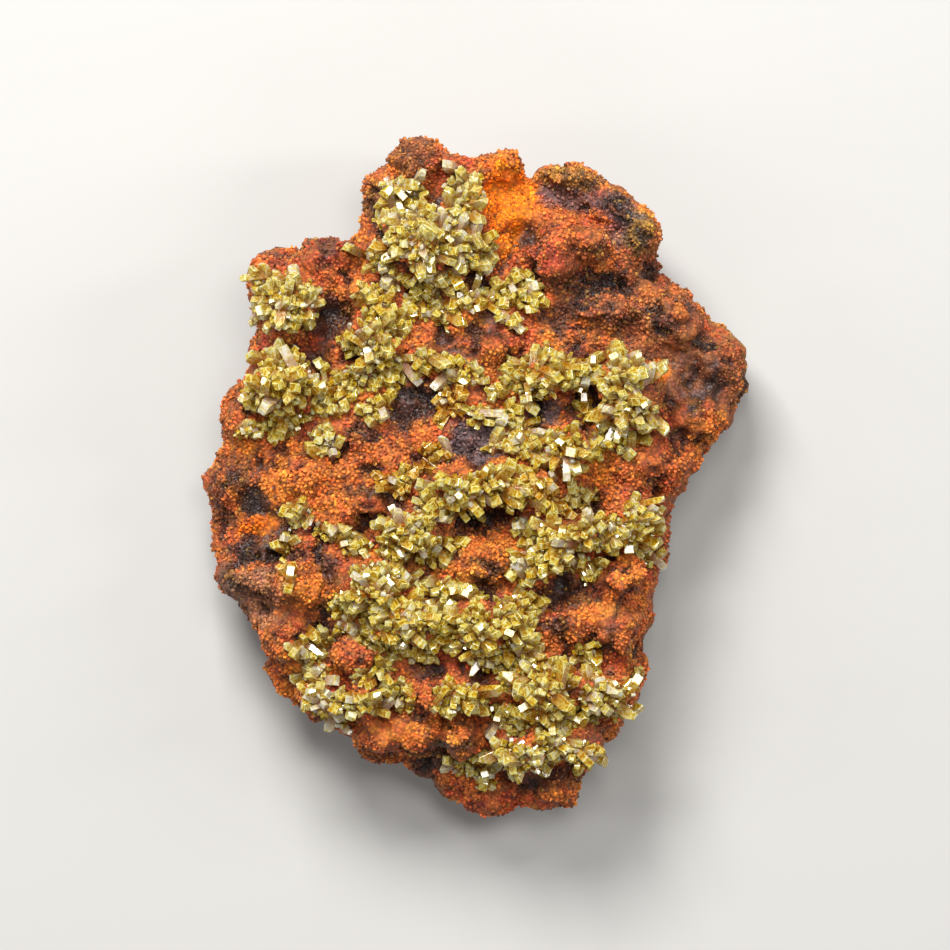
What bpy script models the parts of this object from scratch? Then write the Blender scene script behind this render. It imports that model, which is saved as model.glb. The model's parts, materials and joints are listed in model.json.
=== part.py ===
"""Adamite on limonite matrix: yellow-green crystals grown on a loose piece of iron-oxide rock.

The rock lies on its broken back with its crystal face up. X runs across the face, Y along its
length and +Z out of it; the origin is at the middle of the footprint, on the surface it rests on.
"""

import math
import random

import bmesh
import bpy
from mathutils import Matrix, Vector, noise
from mathutils.bvhtree import BVHTree

MM = 0.001

# Driving sizes, in metres
ROCK_HEIGHT = 20.8 * MM
VOXEL = 0.85 * MM
ROCK_FACES_KEPT = 0.058
GAP = 0.34 * MM
FOOTPRINT_TRIM = 0.9 * MM

# The rock's outline seen from above, in mm, clockwise from the knob at its top end
OUTLINE = (
    (-8.6, 45.2), (-6.9, 44.4), (-4.9, 43.4), (-4.0, 41.8), (-2.3, 42.4), (-0.6, 41.9), (1.5, 42.9),
    (4.0, 42.9), (5.2, 41.2), (6.3, 39.4), (8.2, 38.5), (8.4, 40.2), (10.6, 40.0), (13.8, 39.9),
    (15.3, 38.5), (17.2, 37.0), (18.3, 37.0), (20.0, 35.5), (21.3, 35.3), (22.9, 33.2), (22.8, 30.8),
    (23.5, 27.6), (26.3, 24.8), (28.2, 23.2), (29.4, 20.9), (31.2, 20.1), (33.8, 18.2), (34.2, 15.5),
    (35.8, 14.0), (36.8, 11.4), (34.2, 9.2), (31.4, 5.9), (29.3, 1.9), (27.4, 0.2), (26.0, -2.7),
    (25.6, -4.6), (24.3, -7.6), (23.5, -10.8), (22.2, -15.2), (22.3, -19.5), (21.4, -24.6),
    (21.0, -28.2), (19.2, -30.6), (17.2, -34.7), (14.9, -37.6), (13.4, -40.2), (12.0, -43.8),
    (9.6, -43.8), (7.4, -43.1), (5.0, -44.2), (2.2, -45.2), (-0.4, -45.0), (-2.2, -43.6),
    (-5.1, -42.8), (-8.6, -40.0), (-10.2, -38.2), (-12.7, -37.2), (-14.0, -37.7), (-15.9, -36.6),
    (-16.4, -34.1), (-19.0, -33.5), (-22.2, -33.2), (-25.0, -30.0), (-28.2, -26.5), (-29.3, -24.6),
    (-29.1, -22.6), (-30.9, -19.8), (-33.6, -17.0), (-36.5, -13.3), (-35.0, -10.7), (-35.4, -8.9),
    (-35.1, -3.6), (-36.6, -0.6), (-35.3, 0.8), (-33.8, 5.6), (-33.2, 7.4), (-33.9, 9.4),
    (-32.5, 12.0), (-32.3, 14.0), (-30.5, 13.9), (-30.0, 17.5), (-29.4, 20.2), (-30.5, 24.0),
    (-30.3, 27.4), (-28.3, 28.9), (-26.0, 29.9), (-23.9, 29.5), (-21.0, 31.5), (-17.4, 31.4),
    (-15.7, 33.2), (-15.8, 35.8), (-14.0, 37.3), (-13.5, 40.2), (-11.0, 42.5), (-9.9, 44.0),
)

# The rock's side from its back to its crown: share of the outline, share of the full height
SIDE_STEPS = (
    (0.60, 0.00), (0.70, 0.05), (0.86, 0.18), (0.95, 0.34), (1.00, 0.52), (0.985, 0.66),
    (0.93, 0.78), (0.83, 0.87), (0.68, 0.93), (0.48, 0.97), (0.25, 1.00),
)

# Knobs and ledges of the rock: x, y, half width, half length, turn in degrees, top above the back (mm)
KNOBS = (
    (-8.8, 41.2, 3.6, 3.4, 0, 22.5), (-12.8, 37.0, 3.2, 3.8, 0, 20.5), (2.3, 40.4, 3.4, 2.2, 0, 21.0),
    (-2.2, 39.6, 2.6, 2.8, 0, 21.5), (-7.0, 30.5, 8.2, 6.4, 10, 25.5), (-0.9, 35.6, 2.4, 5.0, 0, 24.0),
    (-20.3, 28.6, 4.0, 3.2, 0, 22.5), (-27.0, 26.6, 3.8, 3.0, 0, 21.5), (-24.8, 22.2, 5.6, 4.8, 0, 25.0),
    (-28.2, 16.8, 3.0, 3.4, 0, 20.0), (8.9, 28.3, 4.0, 3.7, 0, 26.2), (10.4, 31.6, 3.0, 2.2, -20, 25.4),
    (14.2, 30.2, 3.0, 2.4, 0, 25.2), (11.6, 39.0, 4.2, 1.7, -5, 20.6), (17.4, 35.2, 4.4, 2.4, -25, 20.8),
    (20.8, 31.6, 2.6, 3.4, 0, 20.4), (16.0, 21.6, 7.4, 2.4, -4, 23.0), (24.6, 20.6, 5.4, 5.0, 0, 20.6),
    (30.4, 14.6, 5.0, 4.6, 0, 18.0), (-15.8, 24.0, 3.0, 2.6, 0, 23.6), (-13.6, 18.8, 4.0, 5.0, 15, 25.6),
    (1.8, 17.2, 4.2, 2.8, 0, 24.0), (-7.6, 15.8, 2.6, 3.0, 0, 23.6), (-25.6, 12.2, 5.4, 4.2, 0, 25.4),
    (-31.0, 8.4, 3.0, 4.4, 0, 20.4), (-16.4, 5.6, 5.4, 4.0, 0, 22.6), (-22.4, 0.4, 5.2, 4.0, 0, 22.4),
    (-32.6, -1.0, 3.4, 3.4, 0, 19.4), (9.4, 13.2, 6.0, 3.6, 5, 26.0), (19.0, 11.2, 4.6, 5.4, 0, 26.2),
    (21.6, 1.6, 6.4, 5.0, 0, 23.0), (28.0, 8.2, 4.8, 4.2, 0, 19.6), (11.6, 4.2, 3.6, 3.8, 0, 25.6),
    (-2.6, -1.2, 4.4, 3.4, 0, 27.4), (3.2, -0.4, 3.2, 3.0, 0, 25.6), (-5.8, -4.0, 3.0, 2.2, 0, 25.8),
    (-0.2, -11.2, 5.2, 3.8, 0, 25.8), (-9.4, -7.4, 4.6, 3.6, 0, 25.2), (7.4, -2.4, 2.4, 3.4, 0, 25.0),
    (13.2, -7.4, 8.6, 2.9, -3, 25.6), (19.6, -4.4, 3.0, 3.0, 0, 24.4), (8.2, -11.2, 4.4, 2.4, 10, 24.8),
    (18.2, -13.4, 3.4, 2.6, 20, 24.6), (11.0, -19.4, 4.2, 2.6, 0, 24.2), (17.2, -20.0, 4.0, 4.4, 0, 23.6),
    (-15.4, -3.8, 4.6, 3.0, 0, 23.8), (-24.6, -14.6, 6.8, 3.4, -18, 24.0), (-32.2, -13.4, 3.4, 3.4, 0, 19.8),
    (-14.2, -14.2, 4.8, 3.4, 0, 25.0), (-9.4, -18.8, 5.4, 4.2, 0, 25.4), (0.6, -19.0, 7.0, 5.0, 0, 25.8),
    (-25.2, -20.6, 4.2, 4.0, 0, 22.4), (-17.0, -23.4, 4.0, 1.9, 0, 24.0), (-21.4, -29.0, 3.8, 2.8, -30, 21.8),
    (-15.2, -28.6, 2.8, 3.0, 0, 22.6), (-13.6, -34.4, 3.0, 2.6, 0, 20.4), (-6.9, -28.8, 2.6, 2.8, 0, 24.2),
    (-8.4, -33.4, 3.0, 3.0, 0, 21.6), (-1.6, -28.4, 4.0, 2.8, 0, 24.6), (-2.6, -34.4, 3.0, 2.7, 0, 23.6),
    (8.4, -27.6, 7.4, 4.4, 0, 25.4), (16.8, -28.2, 4.4, 2.8, -15, 23.4), (6.2, -35.2, 6.4, 3.6, 5, 22.6),
    (12.6, -35.0, 3.2, 2.8, 0, 22.0), (9.6, -41.2, 3.4, 2.4, 0, 15.6), (1.0, -42.2, 4.6, 2.6, 0, 12.6),
)

# Hollows, cracks and casts in the rock: x, y, half width, half length, turn in degrees, floor (mm)
HOLLOWS = (
    (14.4, 25.4, 5.4, 1.5, 4, 17.5), (11.2, 34.0, 3.0, 1.0, -8, 20.0), (-19.4, 20.6, 2.0, 3.0, 10, 18.0),
    (-20.2, 17.6, 2.6, 1.2, 0, 18.5), (-23.0, 7.4, 2.4, 1.7, -10, 19.0), (-9.8, 15.4, 1.4, 1.7, 0, 20.5),
    (-8.2, 9.6, 3.4, 2.2, 20, 21.0), (-0.6, 4.6, 3.8, 2.4, 0, 21.4), (8.6, 8.6, 1.9, 1.5, 0, 22.0),
    (12.4, 8.8, 0.9, 2.8, 5, 21.5), (0.6, -5.4, 5.6, 1.5, 20, 18.5), (10.4, -15.4, 4.6, 1.5, 8, 18.5),
    (-27.6, -9.9, 5.6, 0.9, -3, 18.0), (-20.4, -11.6, 2.2, 1.1, -55, 20.0), (-29.4, -3.3, 1.7, 1.3, 12, 17.5),
    (-29.0, -6.2, 2.7, 1.0, 14, 17.5), (-6.0, -37.2, 2.8, 1.8, 30, 17.0), (9.4, -39.4, 3.4, 1.2, 5, 14.0),
    (-7.2, 19.4, 2.8, 1.2, 20, 21.0), (7.3, -20.9, 0.9, 0.9, 0, 20.5), (-18.2, -26.6, 2.4, 1.5, 20, 19.5),
    (1.4, -27.7, 1.2, 0.8, -30, 22.0), (4.0, 36.6, 3.0, 5.2, 8, 19.4), (13.0, 22.9, 4.6, 0.7, 10, 20.6),
    (10.6, -12.9, 2.6, 0.8, 10, 21.5), (-30.0, -26.0, 2.4, 2.0, -50, 13.0), (1.4, 12.2, 1.8, 1.0, 0, 21.4),
)

# Crystal groups. Each patch of crust is x, y, half width, half length, turn in degrees (mm).
# A group is grown from one seed, its name, with about one crystal for each CRYSTAL_AREA of crust.
CRYSTAL_AREA = 20.0
CRUST = 1.2 * MM
GROUP_FACES_KEPT = (0.5, 0.58, 0.66, 0.75, 0.85)
GROUPS = {
    "summit_block_crystals": ((-10.0, 37.2, 2.3, 2.1, 0),),
    "upper_druse": (
        (-7.0, 29.8, 7.2, 5.0, 12), (-2.4, 36.6, 2.0, 3.8, 0), (-15.2, 28.2, 2.3, 2.6, 20),
        (-1.0, 29.4, 2.4, 2.4, 0), (-7.0, 33.2, 4.6, 2.0, 0),
    ),
    "left_knob_druse": ((-25.0, 22.6, 4.2, 3.4, -10),),
    "inner_left_druse": (
        (-14.2, 23.4, 2.0, 1.6, -30), (-12.2, 19.6, 2.8, 2.8, 0), (-16.0, 17.8, 2.2, 1.9, 0),
        (-12.6, 14.8, 2.4, 2.4, 0), (-16.6, 12.6, 3.0, 1.7, -5),
    ),
    "left_druse": ((-25.2, 12.2, 3.9, 3.3, 15), (-29.2, 11.4, 1.7, 2.7, 0)),
    "left_lower_crystals": ((-25.8, 7.2, 1.8, 2.1, 0),),
    "pale_prism_row": ((-20.0, 9.4, 2.1, 1.2, 0),),
    "left_sprig": ((-20.1, 4.7, 1.6, 1.8, 8),),
    "north_spray_west": ((-6.6, 22.4, 3.2, 1.6, -20),),
    "north_spray_east": ((0.4, 23.2, 3.2, 1.4, 8), (5.2, 24.6, 1.7, 2.6, -20)),
    "north_sprig_west": ((-7.0, 15.4, 1.2, 2.0, 0),),
    "north_sprig_east": ((-2.8, 13.8, 2.1, 1.7, -25),),
    "amber_crescent": ((-4.0, 9.8, 1.2, 1.8, 15),),
    "small_wedge_crystals": ((-13.8, 8.5, 1.3, 1.1, 0),),
    "centre_right_druse": ((7.2, 13.0, 3.4, 2.8, 0), (11.6, 13.4, 2.8, 2.2, 0), (3.4, 11.9, 1.9, 0.9, 45)),
    "right_druse": ((18.6, 13.4, 3.4, 2.4, -10), (18.7, 8.8, 3.2, 2.9, 0)),
    "right_tail_crystals": ((19.2, 4.6, 1.1, 1.2, 0),),
    "pale_slab_crystals": ((1.6, 8.0, 2.6, 1.1, 0), (4.8, 6.9, 1.6, 1.0, -20)),
    "cross_blades": ((4.4, 4.2, 2.1, 0.9, 5), (7.0, 3.4, 1.5, 1.3, -30)),
    "column_druse": ((11.4, 4.2, 2.4, 2.9, 0),),
    "column_side_crystals": ((15.2, 4.4, 1.2, 1.2, 30),),
    "yellow_chain": ((-11.8, -0.7, 1.2, 1.0, 0), (-9.0, 0.4, 1.9, 0.8, 25), (-6.4, 2.8, 1.3, 1.7, 0)),
    "centre_druse": ((-1.6, -1.6, 3.0, 2.2, 0), (2.6, -0.9, 2.2, 1.4, -35), (-5.8, -3.6, 2.0, 1.5, 0)),
    "amber_spray": ((7.4, -1.8, 0.9, 2.4, 15), (8.6, -3.8, 1.5, 1.1, 0)),
    "right_band_druse": (
        (10.4, -7.6, 4.4, 1.9, -4), (17.4, -7.6, 4.2, 2.2, 4), (20.2, -4.8, 1.4, 2.0, 0),
        (6.4, -6.8, 1.9, 1.5, -40),
    ),
    "under_band_druse": ((7.2, -11.4, 3.2, 2.0, 10),),
    "under_band_crystals": ((13.0, -11.4, 1.9, 1.3, 0),),
    "right_rim_crystals": ((20.9, -10.9, 1.7, 1.2, 0),),
    "west_specks": ((-23.7, -4.6, 1.2, 1.6, 0),),
    "west_row": ((-19.2, -7.2, 2.4, 1.2, -10), (-16.6, -9.0, 1.5, 1.0, -30)),
    "mid_left_druse": ((-9.6, -6.8, 2.8, 2.0, 10), (-7.4, -9.0, 2.4, 1.9, 0), (-11.4, -9.2, 1.2, 1.7, 0)),
    "lower_left_druse": (
        (-13.4, -13.2, 3.3, 2.2, -10), (-16.6, -16.4, 2.6, 1.7, 20), (-10.8, -18.2, 4.4, 2.9, 0),
        (-14.2, -20.8, 3.2, 1.4, -20), (-9.4, -22.4, 3.2, 1.2, 10),
    ),
    "centre_ledge_druse": ((-4.4, -14.6, 4.4, 1.4, -3),),
    "lower_centre_druse": ((-2.2, -19.6, 4.6, 3.0, 0), (4.2, -18.4, 2.4, 3.2, 0), (2.6, -23.0, 4.6, 1.6, 0)),
    "southwest_druse": ((-21.8, -22.6, 2.3, 2.6, 0), (-22.0, -26.0, 1.8, 1.0, 0)),
    "southwest_foot_crystals": ((-20.6, -29.2, 2.8, 1.9, -25),),
    "south_knot_upper": ((-14.6, -25.8, 1.5, 1.4, 0),),
    "south_knot_lower": ((-15.3, -29.3, 2.1, 1.4, 8),),
    "south_sprig": ((-9.6, -28.2, 1.6, 1.8, 0),),
    "south_druse_west": ((-2.6, -28.8, 2.8, 2.1, 10),),
    "south_druse_east": (
        (7.4, -26.6, 4.8, 3.0, 0), (9.8, -31.4, 4.8, 2.6, 0), (15.6, -29.2, 3.2, 2.0, -10),
        (4.4, -31.2, 1.9, 2.2, 0),
    ),
    "foot_druse_west": ((-1.8, -36.8, 2.1, 1.9, 0),),
    "foot_druse": ((4.6, -36.6, 3.2, 2.3, 0), (9.6, -35.6, 3.0, 2.0, 0)),
    "foot_fan_crystals": ((13.2, -35.9, 1.9, 1.4, -20),),
    "east_sprig": ((14.0, -23.2, 1.6, 1.0, 20),),
}

# Prisms that lie open to view: x and y of the foot, x and y of the tip, rise to the tip, width,
# thickness (mm). Those under a group's name are grown together with it.
PRISMS = {
    "summit_block_crystals": ((-11.6, 35.4, -12.0, 38.8, 1.6, 1.6, 1.4), (-10.8, 38.3, -7.6, 38.2, 1.6, 1.7, 1.5)),
    "upper_druse": (
        (-2.2, 38.6, -2.6, 40.3, 2.0, 2.0, 1.2), (-0.8, 36.8, -0.6, 39.4, 1.8, 1.2, 1.2),
        (-10.2, 33.0, -12.6, 33.6, 2.0, 1.3, 1.0), (-6.6, 31.6, -6.2, 32.2, 3.8, 2.2, 2.0),
        (-0.4, 30.2, 0.4, 30.6, 3.4, 1.4, 1.3), (-15.6, 29.4, -17.4, 30.2, 2.4, 1.4, 1.2),
    ),
    "left_knob_druse": (
        (-24.8, 24.0, -24.4, 25.8, 2.2, 1.5, 1.2), (-27.2, 22.0, -29.2, 21.6, 2.4, 1.5, 1.3),
        (-22.6, 23.4, -21.4, 24.4, 2.8, 1.3, 1.2), (-26.6, 24.0, -27.8, 25.3, 2.2, 1.4, 1.2),
    ),
    "inner_left_druse": (
        (-14.4, 16.9, -17.6, 18.9, 1.6, 1.0, 0.9), (-14.8, 17.6, -14.2, 16.0, 2.0, 1.6, 1.2),
        (-12.2, 14.0, -11.4, 12.0, 1.2, 1.5, 1.3),
    ),
    "left_druse": (
        (-23.8, 13.8, -25.6, 17.2, 2.2, 1.5, 1.3), (-24.4, 13.0, -22.4, 13.8, 2.6, 1.6, 1.2),
        (-28.6, 9.6, -30.4, 9.4, 1.6, 1.4, 1.2),
    ),
    "left_lower_crystals": ((-25.4, 7.6, -26.2, 4.8, 0.8, 1.8, 1.4),),
    "pale_prism_row": ((-19.2, 9.0, -22.0, 8.6, 1.0, 0.9, 0.8), (-20.2, 9.2, -18.6, 8.8, 2.2, 1.6, 1.4)),
    "left_sprig": ((-19.8, 4.2, -21.4, 3.2, 1.1, 1.0, 0.9), (-20.0, 5.1, -19.7, 7.2, 1.3, 1.0, 0.8)),
    "north_spray_west": ((-5.6, 21.3, -7.6, 21.5, 1.4, 1.0, 0.9),),
    "north_spray_east": (
        (0.2, 24.0, -3.0, 23.8, 1.6, 1.0, 0.8), (5.6, 24.2, 7.2, 25.4, 1.6, 1.0, 0.8),
        (5.8, 24.0, 7.0, 22.6, 1.8, 1.1, 0.9),
    ),
    "amber_crescent": ((-3.6, 8.8, -6.0, 7.2, 0.7, 0.7, 0.6),),
    "centre_right_druse": (
        (4.6, 13.2, 1.4, 10.2, 0.9, 1.0, 0.9), (10.4, 14.6, 14.4, 14.2, 1.6, 1.3, 0.9),
        (7.8, 15.0, 9.0, 17.0, 1.4, 0.8, 0.7), (6.2, 12.6, 6.6, 9.8, 1.8, 0.9, 0.8),
    ),
    "right_druse": (
        (20.4, 13.2, 21.8, 13.6, 2.6, 2.2, 1.4), (18.0, 14.6, 17.2, 16.4, 2.0, 1.8, 1.2),
        (20.6, 8.0, 21.2, 6.4, 2.6, 1.4, 1.2),
    ),
    "right_tail_crystals": ((19.2, 4.4, 19.8, 2.6, 1.2, 0.9, 0.8),),
    "pale_slab_crystals": ((-0.2, 8.5, 3.2, 8.3, 1.6, 1.5, 1.0),),
    "cross_blades": (
        (1.8, 4.0, 5.4, 4.9, 1.6, 1.3, 0.9), (6.2, 3.4, 8.0, 5.0, 1.8, 0.8, 0.7),
        (6.4, 3.2, 8.8, 1.8, 1.2, 1.0, 0.8),
    ),
    "column_druse": ((11.4, 2.6, 11.4, -0.6, 1.2, 1.1, 1.0),),
    "column_side_crystals": ((14.6, 3.6, 16.0, 5.4, 1.4, 1.0, 0.8),),
    "yellow_chain": ((-10.6, -0.6, -7.6, 1.2, 1.2, 1.2, 0.9),),
    "centre_druse": (
        (2.2, -0.6, 3.6, 1.6, 1.8, 1.0, 0.8), (-2.4, -1.0, -4.6, -0.2, 1.8, 1.2, 1.0),
        (-5.6, -3.0, -6.4, -0.8, 1.4, 0.9, 0.8), (-1.2, -3.2, 0.4, -5.0, 1.2, 1.6, 1.2),
    ),
    "amber_spray": ((7.6, -3.4, 6.8, 0.8, 1.4, 1.0, 0.8), (8.0, -3.4, 9.4, -0.2, 1.2, 0.9, 0.7)),
    "right_band_druse": (
        (16.6, -8.6, 13.6, -3.8, 1.8, 1.2, 0.9), (7.4, -8.8, 4.8, -5.6, 1.4, 0.9, 0.7),
        (20.4, -6.0, 20.6, -3.2, 1.8, 1.4, 1.0),
    ),
    "under_band_druse": ((5.8, -12.8, 4.4, -11.0, 1.8, 1.6, 1.0), (6.2, -10.8, 7.4, -9.6, 2.0, 0.9, 0.7)),
    "under_band_crystals": ((13.4, -11.4, 14.4, -13.6, 0.8, 0.9, 0.8),),
    "mid_left_druse": ((-10.8, -6.0, -12.2, -6.6, 2.2, 1.6, 1.1), (-11.0, -9.2, -10.8, -11.0, 1.0, 1.0, 0.8)),
    "lower_left_druse": (
        (-14.6, -13.6, -16.6, -12.4, 1.8, 1.5, 1.0), (-17.6, -19.4, -15.6, -17.0, 1.6, 0.9, 0.7),
        (-8.4, -20.8, -9.0, -17.6, 1.4, 1.4, 0.9), (-10.2, -23.0, -8.0, -22.8, 1.8, 1.4, 1.0),
        (-11.6, -15.0, -13.2, -16.4, 1.8, 1.2, 0.9),
    ),
    "centre_ledge_druse": ((-2.8, -14.6, -3.8, -14.8, 2.2, 1.5, 1.0),),
    "lower_centre_druse": (
        (-2.2, -20.2, -2.6, -18.2, 1.6, 0.9, 0.8), (5.4, -22.8, 4.4, -21.2, 2.0, 1.5, 1.2),
        (1.0, -20.4, 1.8, -19.6, 2.2, 1.2, 0.9), (5.0, -16.4, 6.6, -16.0, 1.6, 1.0, 0.8),
    ),
    "southwest_druse": ((-22.0, -24.2, -23.4, -22.0, 1.4, 1.0, 0.9),),
    "southwest_foot_crystals": (
        (-21.2, -29.2, -22.8, -28.2, 1.8, 1.4, 1.0), (-18.4, -29.6, -18.2, -31.0, 1.2, 1.4, 1.1),
    ),
    "south_knot_lower": (
        (-16.2, -29.0, -17.4, -28.8, 2.0, 1.3, 1.0), (-14.8, -29.8, -13.8, -30.4, 1.4, 1.2, 1.0),
    ),
    "south_druse_west": ((-5.6, -29.2, -4.0, -27.0, 1.8, 1.2, 0.8), (-3.2, -28.8, -3.4, -30.2, 2.4, 1.1, 0.9)),
    "south_druse_east": (
        (6.0, -28.2, 7.4, -29.4, 2.4, 1.3, 1.0), (2.8, -30.0, 2.2, -32.0, 2.2, 1.1, 0.9),
        (13.8, -25.8, 18.4, -28.4, 2.0, 1.5, 1.1), (9.4, -31.6, 9.6, -33.6, 1.8, 1.0, 0.9),
    ),
    "foot_druse_west": ((-1.6, -37.4, -0.8, -39.2, 1.4, 1.3, 1.0),),
    "foot_druse": ((4.3, -36.4, 4.5, -38.8, 1.4, 1.3, 1.0), (7.4, -35.8, 7.6, -37.6, 1.8, 1.2, 1.0)),
    "foot_hanging_prism": ((1.0, -38.8, 0.4, -41.2, 1.0, 1.3, 1.1),),
    "foot_fan_crystals": ((12.6, -35.4, 14.8, -37.6, 1.0, 1.5, 1.0), (12.8, -36.0, 12.8, -38.2, 0.8, 1.0, 0.8)),
    "east_sprig": ((13.4, -22.4, 15.2, -21.6, 1.8, 1.0, 0.8),),
    "upper_long_prism": ((3.0, 21.4, 5.9, 18.9, 1.3, 1.6, 1.1),),
    "left_rim_prism": ((-28.6, 6.7, -31.2, 6.1, 1.2, 1.4, 1.1),),
    "pale_needle": ((-19.9, 12.2, -20.7, 15.2, 1.4, 0.9, 0.7),),
    "dark_gold_blade": ((14.0, 7.4, 13.6, 11.4, 1.2, 1.1, 0.9),),
    "upright_blade": ((12.4, -3.6, 12.8, -1.0, 1.8, 0.8, 0.7),),
    "slanted_blade": ((15.0, -2.8, 13.2, -1.4, 1.4, 0.9, 0.7),),
    "rim_block_crystal": ((19.6, -27.8, 21.0, -25.6, 1.4, 1.5, 1.2),),
    "gold_plate_crystal": ((-25.2, -9.2, -25.2, -7.0, 1.0, 1.8, 1.0),),
    "amber_plate_crystal": ((-24.6, -13.4, -24.4, -11.4, 1.2, 2.0, 1.0),),
}


def collection_of(name):
    """A new collection in the scene."""
    made = bpy.data.collections.new(name)
    bpy.context.scene.collection.children.link(made)
    return made


def clear_scene():
    for old in list(bpy.data.objects):
        bpy.data.objects.remove(old)


def finish(name, colour, roughness, transmission=0.0):
    """A Principled material; the colour is linear RGB."""
    material = bpy.data.materials.new(name)
    material.use_nodes = True
    shader = material.node_tree.nodes["Principled BSDF"]
    shader.inputs["Base Color"].default_value = (*colour, 1.0)
    shader.inputs["Roughness"].default_value = roughness
    shader.inputs["Metallic"].default_value = 0.0
    shader.inputs["Transmission Weight"].default_value = transmission
    return material


def object_of(name, bm, collection):
    """An object made of a bmesh, which is freed."""
    mesh = bpy.data.meshes.new(name)
    bm.to_mesh(mesh)
    bm.free()
    made = bpy.data.objects.new(name, mesh)
    collection.objects.link(made)
    return made


def helper_of(name, bm, collection):
    """A cutter or guide: never a piece of the specimen."""
    made = object_of(name, bm, collection)
    made.hide_render = True
    made.display_type = "WIRE"
    return made


def evaluated_mesh(piece):
    """The piece's mesh with its modifiers applied."""
    graph = bpy.context.evaluated_depsgraph_get()
    return bpy.data.meshes.new_from_object(piece.evaluated_get(graph))


def apply_modifiers(piece):
    mesh = evaluated_mesh(piece)
    piece.modifiers.clear()
    piece.data = mesh


def ramp(value, low, high):
    """A smooth step from 0 at low to 1 at high."""
    share = min(1.0, max(0.0, (value - low) / (high - low)))
    return share * share * (3.0 - 2.0 * share)


def thickness_share(x, y):
    """The rock thins towards its right corner and its lower end; x and y in metres."""
    right = ramp(x, 14.0 * MM, 38.0 * MM)
    lower = ramp(-y, 26.0 * MM, 47.0 * MM)
    left = ramp(-x, 26.0 * MM, 37.0 * MM)
    return (1.0 - 0.30 * right) * (1.0 - 0.34 * lower) * (1.0 - 0.14 * left)


def rock_body(bm):
    """A loft of the outline: each step of the side is the outline again, smaller and at its height."""
    first = [bm.verts.new((x * MM, y * MM, 0.0)) for x, y in OUTLINE]
    edges = [bm.edges.new(pair) for pair in zip(first, first[1:] + first[:1])]
    rings = [first]
    for _ in SIDE_STEPS[1:]:
        grown = bmesh.ops.extrude_edge_only(bm, edges=edges)["geom"]
        edges = [part for part in grown if isinstance(part, bmesh.types.BMEdge)]
        # The extrusion's new edges are those whose two ends are both new
        ends = {part for part in grown if isinstance(part, bmesh.types.BMVert)}
        edges = [edge for edge in edges if set(edge.verts) <= ends]
        rings.append(list(ends))
    for ring, (share, height) in zip(rings, SIDE_STEPS):
        for vert in ring:
            x, y = vert.co.x, vert.co.y
            rise = height * ROCK_HEIGHT * thickness_share(x * share, y * share)
            vert.co = (x * share, y * share, rise)
    bmesh.ops.holes_fill(bm, edges=bm.edges[:])


def add_ellipsoid(bm, centre, half, turn):
    """A rounded lump: an icosphere stretched to its half sizes and turned about Z."""
    place = Matrix.Translation(centre) @ Matrix.Rotation(math.radians(turn), 4, "Z")
    shape = Matrix.Diagonal((*half, 1.0))
    bmesh.ops.create_icosphere(bm, subdivisions=2, radius=1.0, matrix=place @ shape)


def rock_lumps(bm):
    for x, y, wide, long, turn, top in KNOBS:
        # A knob ends above the back, which stays the only flat face
        tall = min(0.95 * (wide + long), 0.5 * (top - 2.4))
        half = (wide * MM, long * MM, tall * MM)
        add_ellipsoid(bm, (x * MM, y * MM, (top - tall) * MM), half, turn)


def broken_sides(bm):
    """Uneven lumps round the rock's side, which is a broken face on every edge."""
    dice = random.Random("broken sides")
    for x, y in OUTLINE[::3]:
        share = dice.uniform(0.80, 0.88)
        height = dice.uniform(0.25, 0.55) * ROCK_HEIGHT * thickness_share(x * MM, y * MM)
        half = [dice.uniform(2.6, 4.6) * MM for _ in range(3)]
        add_ellipsoid(bm, (x * share * MM, y * share * MM, height), half, dice.uniform(0, 180))


def roughen(mesh):
    """Moves the rock's surface along its normals by layered noise, more on its broken sides."""
    moves = []
    for vert in mesh.vertices:
        p = vert.co
        broad = noise.fractal(p / (9.0 * MM), 0.9, 2.2, 3)
        ridged = noise.voronoi(p / (3.4 * MM))[0][0]
        side = 1.0 - ramp(abs(vert.normal.z), 0.2, 0.8)
        moves.append((0.55 + 0.5 * side) * MM * broad + 0.75 * MM * (0.42 - ridged))
    for vert, move in zip(mesh.vertices, moves):
        vert.co += vert.normal * move


def sink_hollows(mesh):
    """Presses the hollows into the crystal face, each down to its floor with steep walls."""
    for x, y, wide, long, turn, floor in HOLLOWS:
        spin = Matrix.Rotation(math.radians(-turn), 2)
        for vert in mesh.vertices:
            off = spin @ (vert.co.xy / MM - Vector((x, y)))
            inside = 1.0 - (off.x / wide) ** 2 - (off.y / long) ** 2
            if inside > 0.0 and vert.co.z > floor * MM:
                vert.co.z += (floor * MM - vert.co.z) * ramp(inside, 0.0, 0.5)


def add_boolean(piece, operation, other, solver="EXACT"):
    cut = piece.modifiers.new(operation.title(), "BOOLEAN")
    cut.operation = operation
    cut.solver = solver
    if isinstance(other, bpy.types.Collection):
        cut.operand_type = "COLLECTION"
        cut.collection = other
    else:
        cut.object = other
    return cut


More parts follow.
